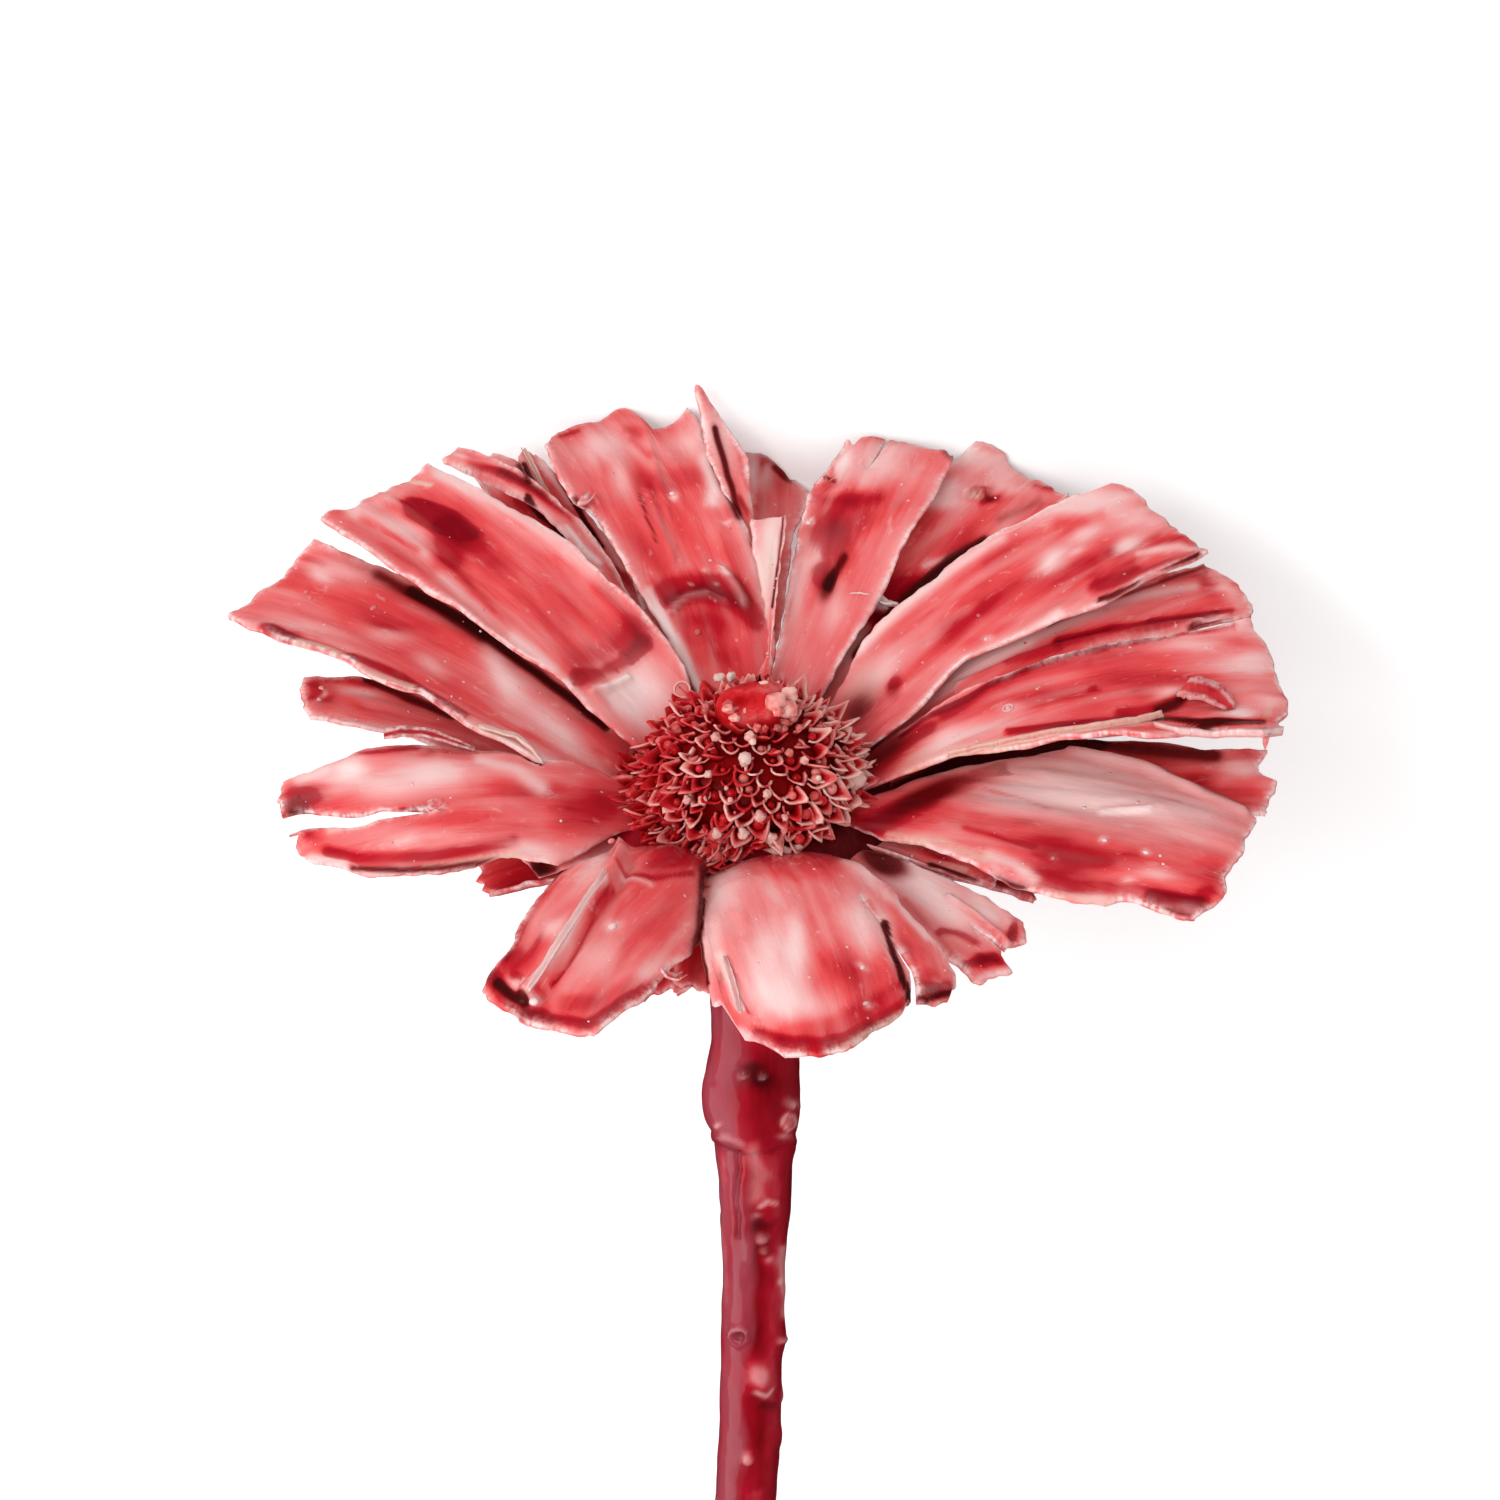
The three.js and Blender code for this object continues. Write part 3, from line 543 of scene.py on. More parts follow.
        "dark": [(0.4, 2.5, (1165, 911), (1190, 917)), (0.5, 930, 800, 46, 12, -22)],
        "fold": [(0.5, 7, (1070, 753), (1140, 767), (1190, 790), (1244, 812))],
        "lip": [(0.3, 2.5, (1100, 814), (1150, 814))],
        "bead": [(0.5, 1105, 844, 4, 3), (0.5, 1146, 857, 4, 3), (0.4, 1054, 862, 3, 3)],
    },
}, {
    "name": "bract_right_rear_lobe", "az": 357, "row": 1, "length": 40.5, "pitch": (7, 6, 4), "wide": (3.5, 8, 8),
    "grid": (28, 96), "search": 3.4,
    "tip": [(1261, 757), (1256, 766), (1258, 774), (1265, 780), (1276, 783), (1275, 792), (1268, 800), (1265, 810),
        (1264, 817), (1254, 824)],
    "plus": [(1261, 757), (1257, 752), (1236, 750), (1200, 751), (1160, 748), (1120, 742), (1085, 738), (1040, 742),
        (1000, 748), (960, 757), (930, 767), (900, 780)],
    "marks": {
        "pool": [(0.15, 14, (1090, 758), (1150, 768), (1210, 772)), (0.3, 1245, 795, 18, 14)],
        "red": [(0.35, 1205, 788, 24, 8, 20), (0.3, 1248, 758, 14, 6)],
        "white": [(0.65, 1240, 774, 22, 9)],
        "shade": [(0.75, 10, (1040, 752), (1100, 748), (1160, 754), (1215, 758))],
        "dark": [(1.0, 12, (900, 796), (940, 776), (980, 763), (1040, 751), (1095, 745))],
    },
}, {
    "name": "bract_right_broad", "az": 6, "row": 0, "length": 42.5, "pitch": (34, 15, -5), "wide": (3.4, 12.5, 13),
    "cup": (20, 16, 10), "grid": (44, 110),
    "tip": [(1262, 735), (1270, 733), (1280, 730), (1276, 722), (1285, 715), (1287, 705), (1284, 697), (1279, 690),
        (1277, 678), (1272, 665), (1268, 650), (1262, 637), (1254, 630), (1250, 622)],
    "minus": [(950, 757), (987, 750), (1053, 741), (1120, 737), (1160, 738), (1200, 740), (1240, 741), (1262, 735)],
    "plus": [(1250, 622), (1220, 628), (1185, 633), (1145, 638), (1100, 647), (1060, 658), (1020, 672)],
    "marks": {
        "pool": [(0.45, 1150, 684, 54, 11), (0.2, 1120, 664, 60, 12, -4),
            (0.5, 6, (1182, 703), (1160, 712), (1120, 718)),
            # painted shadow: a dark line along the upper edge, as if the slim bract beside it lay over it
            (0.9, 3.4, (902, 738), (924, 719), (946, 710), (968, 702), (990, 689), (1012, 679), (1035, 670),
             (1057, 661), (1079, 655), (1101, 650), (1123, 643), (1145, 639), (1167, 636), (1200, 634), (1233, 630)),
            (0.45, 1094, 693, 6, 4),
            (0.8, 4, (1010, 738), (1060, 731), (1110, 725), (1150, 722), (1200, 726), (1262, 727)),
            (0.45, 12, (882, 768), (902, 752), (928, 733)), (0.25, 1100, 650, 60, 5, -10)],
        "red": [(0.2, 1240, 645, 18, 8),
            (0.3, 9, (946, 712), (990, 691), (1035, 672), (1079, 657), (1123, 646), (1167, 639)),
            (0.25, 1140, 700, 20, 6), (0.25, 1060, 700, 60, 14, -8), (0.3, 946, 716, 34, 14, -35)],
        "pale": [(0.25, 1252, 665, 34, 46), (0.3, 980, 735, 44, 12, -14)],
        "white": [(0.35, 1190, 648, 34, 8), (0.3, 1240, 668, 36, 8), (0.35, 1168, 697, 14, 6, -10),
            (0.3, 1010, 712, 12, 6), (0.8, 1240, 716, 16, 5), (0.5, 4, (1170, 739), (1240, 744)),
            (0.4, 1270, 706, 14, 5), (0.4, 945, 745, 26, 14, -35)],
        "torn": [(0.5, 3, (950, 757), (990, 748), (1053, 738), (1110, 732), (1160, 725)), (0.5, 1268, 715, 4, 8),
            (0.35, 915, 775, 30, 14, -50)],
        "shade": [(0.65, 6, (1186, 700), (1178, 708), (1158, 714)), (0.7, 884, 750, 38, 22, -42)],
        "dark": [(0.8, 3, (1150, 724), (1200, 727), (1262, 727)), (0.5, 885, 800, 16, 18, -50)],
        "bead": [(0.35, 1156, 680, 3, 3), (0.4, 1010, 713, 5, 4)],
    },
}, {
    "name": "bract_right_slim", "az": 22, "row": 1, "length": 42, "pitch": (29, 18.5, 2), "wide": (4, 8, 7.5),
    "grid": (30, 104),
    "tip": [(1250, 622), (1252, 605), (1247, 598), (1238, 590), (1228, 582), (1218, 572), (1205, 566)],
    "minus": [(1250, 622), (1235, 626), (1205, 629), (1180, 634), (1140, 639), (1100, 648), (1060, 659), (1020, 673)],
    "plus": [(1205, 566), (1180, 572), (1150, 580), (1130, 588), (1100, 600), (1070, 610), (1040, 622), (1010, 632),
        (985, 643), (950, 660), (925, 680), (895, 712)],
    "marks": {
        "pool": [(0.75, 7, (1060, 648), (1110, 635), (1165, 628), (1230, 618)),
            (0.2, 14, (980, 672), (1050, 645), (1110, 625)), (0.4, 6, (1165, 583), (1205, 575))],
        "red": [(0.25, 1210, 592, 20, 10), (0.4, 5, (1150, 625), (1190, 621), (1215, 617)),
            (0.3, 5, (1010, 668), (1060, 652))],
        "pale": [(0.3, 12, (960, 676), (1040, 640), (1110, 616))],
        "white": [(0.6, 7, (930, 684), (980, 660), (1040, 636), (1100, 614)), (0.4, 1225, 590, 24, 8, 40),
            (0.65, 6, (1110, 608), (1150, 598), (1195, 590)), (0.8, 1212, 624, 18, 3.5, -5),
            (0.45, 7, (880, 740), (930, 700), (985, 668), (1030, 645))],
        "shade": [(0.5, 2.6, (1050, 628), (1090, 612), (1130, 597), (1170, 582), (1208, 567)),
            (0.7, 868, 735, 34, 20, -45)],
        "dark": [(0.55, 2.5, (1190, 631), (1235, 627))],
        "fold": [(0.6, 5, (960, 690), (1020, 664), (1080, 646), (1150, 632), (1200, 626))],
    },
}, {
    "name": "bract_upper_right_broad", "az": 35, "row": 0, "length": 41.5, "pitch": (30, 18, 3), "wide": (5, 13, 13),
    "cup": (20, 16, 10), "grid": (44, 108),
    "tip": [(1211, 557), (1203, 552), (1190, 544), (1178, 533), (1165, 520), (1150, 507), (1135, 495), (1120, 489),
        (1110, 488), (1100, 492), (1085, 500), (1072, 502)],
    "minus": [(1211, 557), (1200, 564), (1180, 571), (1150, 582), (1130, 591), (1100, 606), (1070, 617), (1040, 629),
        (1010, 641), (990, 651), (960, 664)],
    "plus": [(1072, 502), (1055, 508), (1030, 520), (1000, 533), (980, 545), (950, 563), (935, 578), (905, 602),
        (880, 625), (860, 650), (845, 680)],
    "marks": {
        "pool": [(0.18, 12, (990, 565), (1040, 542), (1080, 528)), (0.25, 16, (990, 610), (1040, 590), (1090, 570)),
            (0.25, 970, 635, 34, 18, -28), (0.5, 7, (1095, 594), (1140, 580), (1172, 570), (1198, 564)),
            (0.6, 898, 685, 7, 12, 20), (0.1, 16, (950, 630), (1000, 592), (1050, 564))],
        "red": [(0.25, 1130, 494, 12, 4, 30), (0.25, 8, (1060, 525), (1100, 518)),
            (0.25, 10, (1110, 556), (1150, 548), (1190, 545)), (0.3, 8, (1100, 588), (1135, 572))],
        "pale": [(0.3, 1090, 512, 70, 16, 10)],
        "white": [(0.45, 1110, 500, 30, 9), (0.75, 1130, 548, 16, 9, -20), (0.6, 1082, 537, 16, 6, -20),
            (0.75, 1052, 562, 16, 11, -30), (0.4, 1080, 552, 10, 5, -30), (0.35, 1140, 520, 26, 10),
            (0.5, 4, (1140, 560), (1180, 553), (1200, 555)), (0.4, 1150, 585, 16, 5, -10),
            (0.5, 6, (990, 655), (1030, 635), (1060, 618)), (0.55, 7, (860, 650), (900, 610), (950, 570), (1000, 540)),
            (0.35, 6, (1000, 525), (1050, 505)), (0.4, 880, 675, 30, 14, -50), (0.5, 988, 643, 5, 3)],
        "torn": [(0.35, 865, 690, 16, 26, 20)],
        "shade": [(0.5, 860, 712, 26, 18, -50)],
        "dark": [(0.25, 895, 695, 7, 10), (0.7, 2.5, (1100, 603), (1130, 592), (1165, 579), (1200, 563))],
        "bead": [(0.4, 980, 619, 3.5, 3), (0.4, 988, 643, 4, 3)],
    },
}, {
    "name": "bract_back_right", "az": 56.5, "row": 1, "length": 39.5, "pitch": (28, 16, 0), "wide": (5, 14, 14),
    "cup": (10, 10, 10), "grid": (46, 104),
    "tip": [(1072, 500), (1060, 496), (1045, 486), (1030, 478), (1015, 471), (1003, 458), (990, 449), (980, 444),
        (973, 445), (965, 452), (955, 461)],
    "plus": [(955, 461), (935, 472), (905, 479), (890, 486), (884, 494), (872, 520), (865, 545), (846, 575),
        (832, 600), (820, 630), (806, 660)],
    "marks": {
        "pool": [(0.65, 980, 500, 20, 7, 8), (0.25, 950, 548, 30, 14, -20), (0.5, 895, 590, 40, 18, -12),
            (0.4, 905, 600, 22, 14, -30), (0.9, 884, 624, 22, 11, 20), (0.6, 878, 562, 14, 28, 22)],
        "red": [(0.25, 995, 456, 12, 4, 20), (0.4, 4, (1035, 490), (1052, 494)), (0.12, 920, 520, 44, 12)],
        "pale": [(0.3, 850, 640, 24, 34, 20)],
        "white": [(0.45, 975, 458, 26, 12, 10), (0.5, 950, 492, 24, 12), (0.45, 935, 505, 26, 8),
            (0.5, 3.5, (925, 568), (950, 564), (965, 558)), (0.95, 4.5, (852, 604), (875, 607), (893, 613)),
            (0.45, 840, 630, 12, 34, 25), (0.5, 895, 500, 7, 12, 20), (0.3, 1010, 490, 24, 8, 20),
            (0.35, 1000, 470, 50, 14, 15)],
        "torn": [(0.9, 976, 500, 7, 3), (0.5, 4, (868, 545), (850, 570))],
        "shade": [(1.0, 7, (985, 547), (950, 566), (930, 582), (902, 606), (880, 630), (858, 658)),
            (0.3, 6, (1040, 508), (1000, 524))],
        "dark": [(0.4, 990, 502, 7, 4), (1.0, 5, (889, 494), (886, 508), (880, 524), (872, 542))],
        "lip": [(0.6, 3, (964, 498), (976, 494), (988, 497)),
            (0.9, 4, (850, 603), (870, 605), (890, 608), (898, 615))],
    },
}, {
    "name": "bract_back_right_inner", "az": 69.5, "row": 0, "length": 36.5, "pitch": (29, 17, 1),
    "wide": (4, 10, 10.5), "cup": (10, 10, 10), "slits": [(0.35, 0.86, 0.5)], "grid": (38, 96),
    "tip": [(957, 463), (950, 458), (940, 452), (925, 449), (900, 443), (885, 441), (870, 438), (863, 437), (857, 443),
        (853, 455), (851, 462), (852, 448), (850, 441), (843, 442), (838, 447), (833, 455), (828, 465), (823, 475),
        (819, 483), (815, 490), (810, 497)],
    "plus": [(810, 497), (802, 520), (795, 560), (787, 600), (780, 650)],
    "marks": {
        "pool": [(0.55, 850, 520, 30, 24, -30), (0.6, 828, 545, 22, 32, -20), (0.6, 795, 553, 5, 9, 5),
            (0.6, 820, 580, 12, 14, 20), (0.5, 830, 488, 12, 5, -20)],
        "red": [(0.2, 890, 448, 24, 5, 8), (0.3, 9, (812, 500), (850, 505), (880, 498)), (0.6, 838, 450, 9, 5, -60),
            (0.5, 832, 470, 4, 12, 10), (0.3, 2.5, (787, 620), (800, 570))],
        "pale": [(0.25, 860, 480, 40, 16)],
        "white": [(0.5, 880, 465, 34, 16, 10), (0.8, 808, 527, 4, 3), (0.45, 815, 560, 14, 26, 20),
            (0.35, 834, 616, 12, 24, 20), (0.4, 795, 600, 10, 34, 8), (0.8, 843, 462, 7, 12, 20),
            (0.3, 900, 450, 30, 10)],
        "dark": [(0.5, 828, 590, 8, 16, 20), (0.6, 5, (845, 560), (828, 590)), (0.55, 2.5, (824, 478), (834, 484)),
            (0.35, 5, (945, 455), (957, 463))],
        "bead": [(0.6, 808, 527, 4, 3)],
    },
}, {
    "name": "bract_back_pointed", "az": 85, "row": 2, "length": 42, "pitch": (26, 27, 28), "wide": (2, 2.8, 1.5),
    "turn": (4, 6, 42), "grid": (18, 100), "search": 3,
    "tip": [(690, 402), (692, 396), (695, 390), (698, 385), (703, 390), (708, 398), (712, 405)],
    "minus": [(712, 405), (720, 415), (727, 430), (735, 442), (746, 457), (748, 480), (750, 505), (760, 540)],
    "plus": [(690, 402), (694, 412), (700, 435), (705, 448), (712, 465), (725, 495), (738, 512), (750, 540)],
    "marks": {
        "pool": [(0.5, 736, 512, 12, 12), (0.4, 713, 408, 5, 7)],
        "red": [(0.3, 3, (712, 405), (735, 445), (748, 490)), (0.4, 704, 398, 8, 12, -20)],
        "white": [(0.4, 720, 440, 12, 40, -22)],
        "shade": [(0.8, 4, (714, 430), (722, 458), (731, 488), (738, 516))],
        "dark": [(0.3, 3, (740, 500), (748, 515))],
    },
}, {
    "name": "bract_back_pale_strap", "az": 82, "row": 5, "length": 26, "pitch": (32, 20, 10), "wide": (1.8, 2.6, 2.8),
    "turn": (0, 5, 8), "grid": (14, 66), "search": 4,
    "tip": [(748, 524), (756, 521), (764, 519), (774, 517), (788, 516)],
    "minus": [(786, 512), (785, 530), (781, 560), (777, 590), (773, 620), (771, 650)],
    "plus": [(752, 512), (753, 545), (758, 570), (764, 600), (768, 630), (769, 650)],
    "marks": {
        "pool": [(0.3, 5, (775, 620), (778, 660))],
        "white": [(0.85, 768, 560, 12, 60, 6)],
        "torn": [(0.35, 765, 580, 10, 50, 6)],
        "dark": [(0.85, 762, 505, 7, 14), (0.6, 1.8, (783, 520), (778, 570), (772, 610))],
    },
}, {
    "name": "bract_back_ragged", "az": 92, "row": 3, "length": 36.5, "pitch": (32, 17, 5), "turn": (-5, -9, -5),
    "wide": (2.5, 4, 4), "grid": (24, 84), "search": 4,
    "tip": [(742, 456), (748, 455), (760, 453), (768, 457), (776, 465), (784, 474), (790, 484)],
    "minus": [(790, 480), (800, 490), (812, 497), (800, 520), (790, 540)],
    "plus": [(742, 456), (746, 480), (750, 510), (755, 540)],
    "marks": {
        "pool": [(0.5, 765, 462, 10, 6, 30), (0.4, 760, 510, 12, 20)],
        "white": [(0.7, 753, 475, 5, 18), (0.4, 766, 480, 8, 12, 20)],
        "dark": [(0.6, 6, (776, 470), (788, 482))],
    },
}, {
    "name": "bract_back_broad", "az": 93, "row": 0, "length": 39, "pitch": (28, 16, 0), "wide": (4.5, 13, 13.5),
    "cup": (10, 10, 10), "turn": (6, 16, 22), "grid": (48, 104),
    "tip": [(547, 455), (550, 442), (558, 434), (570, 430), (585, 424), (600, 422), (612, 416), (625, 411), (632, 413),
        (640, 417), (643, 425), (650, 433), (660, 430), (675, 426), (683, 419), (689, 412), (694, 418)],
    "minus": [(694, 418), (700, 430), (705, 448), (712, 465), (722, 490), (735, 510), (745, 525), (752, 545),
        (760, 580), (768, 610), (776, 645)],
    "plus": [(547, 455), (553, 470), (565, 488), (575, 503), (596, 512), (615, 548), (635, 585), (650, 610),
        (668, 640)],
    "marks": {
        "pool": [(0.35, 700, 634, 34, 14), (0.2, 12, (640, 485), (665, 488), (695, 480)), (0.5, 736, 512, 11, 12, 30),
            (0.6, 16, (652, 600), (690, 588), (730, 592), (755, 620)), (0.3, 10, (665, 610), (700, 592), (740, 606)),
            (0.4, 702, 614, 38, 20, 10)],
        "red": [(0.35, 4, (560, 438), (578, 434)), (0.35, 632, 437, 9, 7), (0.25, 4, (632, 445), (650, 462)),
            (0.12, 690, 540, 50, 40), (0.25, 715, 655, 30, 16), (0.3, 655, 436, 36, 12, -8)],
        "pale": [(0.2, 640, 445, 70, 20, -10), (0.12, 700, 630, 30, 16)],
        "white": [(0.45, 600, 450, 26, 16, -10), (0.35, 620, 480, 10, 20, -10), (0.3, 690, 445, 16, 16),
            (0.7, 8, (708, 462), (715, 490), (712, 505)), (0.6, 672, 498, 4, 3), (0.6, 726, 525, 5, 2),
            (0.45, 4, (672, 612), (688, 600), (704, 598)), (0.45, 5, (722, 572), (734, 590), (744, 608)),
            (0.5, 6, (590, 520), (612, 555), (632, 590)), (0.7, 3.5, (640, 598), (668, 640)),
            (0.85, 6, (647, 594), (662, 622), (680, 656), (699, 694))],
        "torn": [(0.6, 705, 573, 4, 3), (0.5, 690, 588, 2.5, 2), (0.5, 715, 588, 2.5, 2)],
        "shade": [(0.6, 4, (702, 412), (706, 432), (716, 462), (732, 492)),
            (0.6, 5, (708, 440), (718, 470), (730, 500), (738, 520))],
        "dark": [(0.5, 3, (574, 500), (598, 520)), (0.55, 3, (752, 530), (753, 548)),
            (0.45, 1.6, (637, 496), (642, 511), (648, 527), (655, 544))],
        "fold": [(0.4, 4, (640, 415), (655, 470), (668, 520)), (0.35, 5, (648, 495), (658, 525), (672, 560))],
        "lip": [(0.4, 3.5, (668, 614), (686, 601), (706, 598), (725, 606)),
            (0.6, 5, (722, 575), (735, 590), (745, 606))],
        "bead": [(0.5, 672, 498, 4, 3), (0.7, 697, 636, 5, 5)],
    },
}, {
    "name": "bract_back_left_curled", "az": 121, "row": 1, "length": 39.5, "pitch": (29, 18, 4), "wide": (2.2, 3, 2.5),
    "turn": (0, -2, 30), "grid": (14, 100), "search": 5,
    "tip": [(450, 468), (444, 462), (450, 457), (458, 452)],
    "minus": [(458, 452), (480, 460), (500, 469), (520, 478), (540, 492), (560, 509), (580, 526), (606, 560)],
    "plus": [(450, 466), (480, 476), (500, 486), (520, 496), (540, 511), (560, 531), (597, 568)],
    "marks": {
        "pool": [(0.4, 5, (500, 478), (545, 500))],
        "red": [(0.3, 5, (470, 470), (520, 485), (570, 520))],
        "pale": [(0.3, 3, (450, 458), (500, 472))],
        "white": [(0.3, 3, (560, 530), (600, 565))],
    },
}, {
    "name": "bract_back_left_channel", "az": 113, "row": 2, "length": 40.5, "pitch": (28, 16, 5),
    "wide": (2.2, 3.4, 3), "turn": (0, 2, 3), "grid": (16, 100), "search": 3,
    "tip": [(519, 458), (523, 453), (530, 455), (537, 462), (543, 468)],
    "minus": [(530, 455), (545, 467), (560, 483), (577, 501), (598, 528), (620, 552), (640, 588)],
    "plus": [(519, 458), (524, 472), (534, 488), (548, 504), (565, 524), (585, 548)],
    "marks": {
        "pool": [(0.4, 590, 512, 12, 8)],
        "white": [(0.5, 4, (540, 465), (570, 505)), (0.6, 4, (600, 530), (622, 570))],
        "torn": [(0.6, 3, (524, 454), (530, 480))],
        "dark": [(0.6, 4, (524, 470), (533, 486)), (0.5, 5, (553, 470), (580, 510))],
    },
}, {
    "name": "bract_back_left_sliver", "az": 108, "row": 1, "length": 33, "pitch": (28, 17, 5), "wide": (2.2, 3, 1),
    "turn": (0, 2, 3), "grid": (14, 84),
    "marks": {
        "pool": [(0.5, 632, 585, 10, 8)],
        "white": [(0.4, 4, (590, 515), (630, 590))],
        "dark": [(0.4, 3, (580, 505), (610, 550))],
    },
}, {
    "name": "bract_back_left_hidden", "az": 130, "row": 2, "length": 41, "pitch": (27, 16, 5), "wide": (2.6, 5.4, 5),
    "turn": (0, -3, -11), "grid": (22, 96), "search": 4,
    "tip": [(462, 462), (474, 458), (484, 461), (497, 456), (510, 460), (520, 466)],
    "minus": [(520, 466), (532, 478), (548, 494), (566, 515), (590, 545)],
    "plus": [(462, 462), (476, 482), (494, 506), (520, 528), (548, 552), (575, 578)],
    "marks": {
        "pool": [(0.4, 8, (520, 505), (560, 540), (600, 570))],
        "red": [(0.3, 515, 500, 16, 10, 30)],
        "pale": [(0.25, 480, 482, 18, 14, 30)],
        "white": [(0.3, 500, 470, 14, 8)],
        "dark": [(0.5, 5, (530, 508), (545, 522))],
    },
}]


# The shorter rows beneath, dipped deepest, with what the wax does left to chance.
def rowOfBracts(name, row, azimuths, lengths, pitch, wide, cup, grid):
    return [
        {"name": f"{name}_{i + 1}", "az": az, "row": row, "length": lengths[i], "pitch": pitch,
         "wide": wide, "cup": cup, "grid": grid, "ragged": 0.5, "depth": 0.14}
        for i, az in enumerate(azimuths)
    ]


outerBracts = (
    rowOfBracts("outer_bract", 2, (11.5, 37, 62, 150.5, 197, 225, 262, 292, 319, 345.5),
                (22, 23, 21, 22, 16.5, 14, 15, 18, 17, 20),
                (5, -4, -12), (3.5, 7.5, 5.5), (20, 16, 12), (20, 46))
    + rowOfBracts("collar_bract", 3, (24, 62, 119, 162, 206, 246, 286, 338),
                  (16, 17, 16, 15, 13, 11.8, 13, 15), (-8, -14, -20), (4, 8, 5), (30, 24, 18), (24, 40))
    + rowOfBracts("collar_scale", 4, (50, 110, 170, 230, 290, 350),
                  (9, 10, 9, 8, 8.5, 9), (-24, -28, -30), (4, 6.5, 3.5), (40, 32, 24), (22, 26))
)
# two of them show through the gaps between the inner bracts: the first is darkened there as painted shade, the second
# lightened
outerBracts[9]["marks"] = {"pool": [(0.9, 995, 890, 30, 14, 20)]}
outerBracts[13]["marks"] = {"white": [(1.0, 641, 820, 14, 9)]}


# The bract's middle line, as stations of a place, the way across and the way the upper face looks.
def spineOf(bract):
    rootRadius, rootHeight = rows[bract["row"]]
    az = math.radians(bract["az"])
    place = Vector((rootRadius * math.cos(az), rootRadius * math.sin(az), rootHeight))
    step = bract["length"] / spineSteps
    stations, before = [], None
    for i in range(int(spineSteps * spineOver) + 1):
        s = i / spineSteps
        heading = math.radians(bract["az"] + through(bract.get("turn", straight), s))
        rise = math.radians(through(bract["pitch"], s))
        roll = math.radians(through(bract.get("roll", straight), s))
        level = Vector((-math.sin(heading), math.cos(heading), 0))
        along = Vector((math.cos(rise) * math.cos(heading), math.cos(rise) * math.sin(heading), math.sin(rise)))
        if before:
            place = place + (before + along) * step / 2
        before = along
        up = along.cross(level)
        stations.append((
            place,
            level * math.cos(roll) + up * math.sin(roll),
            up * math.cos(roll) - level * math.sin(roll),
        ))
    return stations


# The point at s along and t across a bract's middle, and the direction its upper face looks.
def bractAt(bract, s, t, u=None):
    stations = bract["spine"]
    at = clamp(s * spineSteps, 0, len(stations) - 1.001)
    i = int(at)
    place, side, face = [a.lerp(b, at - i) for a, b in zip(stations[i], stations[i + 1])]
    half = through(bract["wide"], s) / 2
    cup = math.radians(through(bract.get("cup", straight), s)) or 1e-4
    across = half * math.sin(cup * t) / cup
    for where, start, gap in bract.get("slits", []):
        across += math.copysign(gap * clamp((s - start) / (1 - start)) / 2, (t if u is None else u) - where)
    point = place + side * across + face * (half * (1 - math.cos(cup * t)) / cup)
    return point, face * math.cos(cup * t) - side * math.sin(cup * t)


# Where a path of (value, pixel) meets a traced line, nearest to the plain shape.
def meets(path, line, plain):
    best = None
    for (v0, p), (v1, q) in zip(path, path[1:]):
        dx, dy = q[0] - p[0], q[1] - p[1]
        for a, b in zip(line, line[1:]):
            ex, ey = b[0] - a[0], b[1] - a[1]
            turn = dx * ey - dy * ex
            if abs(turn) < 1e-9:
                continue
            f = ((a[0] - p[0]) * ey - (a[1] - p[1]) * ex) / turn
            g = ((a[0] - p[0]) * dy - (a[1] - p[1]) * dx) / turn
            value = v0 + (v1 - v0) * f
            if 0 <= f <= 1 and 0 <= g <= 1 and (best is None or abs(value - plain) < abs(best - plain)):
                best = value
    return best


# Fills the places where nothing was met, easing back to the plain shape.
def filled(found, plain, ease):
    out = []
    for k, value in enumerate(found):
        if value is None:
            near = [(abs(k - j), v) for j, v in enumerate(found) if v is not None]
            far, v = min(near, default=(ease, plain))
            value = plain + (v - plain) * smooth(1 - far / ease)
        out.append(value)
    return out


def readAt(values, at):
    at = clamp(at, 0, len(values) - 1.001)
    return values[int(at)] * (1 - at % 1) + values[int(at) + 1] * (at % 1)


edgeRows = 44
edgeOver = 1.25  # the long edges are followed a little past the plain bract's end


# The bract's own outline: how far across each long edge stands along it, and how far along the tip
# reaches across it.
def outlineOf(bract):
    edges = []
    for name, sign in (("minus", -1), ("plus", 1)):
        found = []
        for k in range(edgeRows + 1):
            s = edgeOver * k / edgeRows
            line = bract.get(name)
            # a curled bract is searched less far, so that the path doesn't come round again
            reach = min(bract.get("search", 2.4), 95 / max(1, abs(through(bract.get("cup", straight), s))))
            least = -bract.get("search", 0) * sign or 0.4 * sign
            path = [least + (sign * reach - least) * r / 20 for r in range(21)] if line else []
            path = [(t, pixelOf(bractAt(bract, s, t)[0])) for t in path]
            found.append(meets(path, line, sign) if line else None)
        edges.append(filled(found, sign, 9))
    columns = bract["grid"][0]
    line = bract.get("tip")
    lengths = [r / 40 for r in range(24, 51)] if line else []
    reach = []
    for j in range(columns + 1):
        u = 2 * j / columns - 1
        path = [(s, pixelOf(bractAt(bract, s, acrossAt(edges, u, s))[0])) for s in lengths]
        reach.append(meets(path, line, 1) if line else None)
    reach = filled(reach, 1, 6)
    around = [sorted(reach[max(0, j - 1):j + 2]) for j in range(len(reach))]
    return edges, [near[len(near) // 2] for near in around]


# How far across a place between the two long edges stands.
def acrossAt(edges, u, s):
    at = s / edgeOver * edgeRows
    return readAt(edges[0], at) * (1 - u) / 2 + readAt(edges[1], at) * (1 + u) / 2


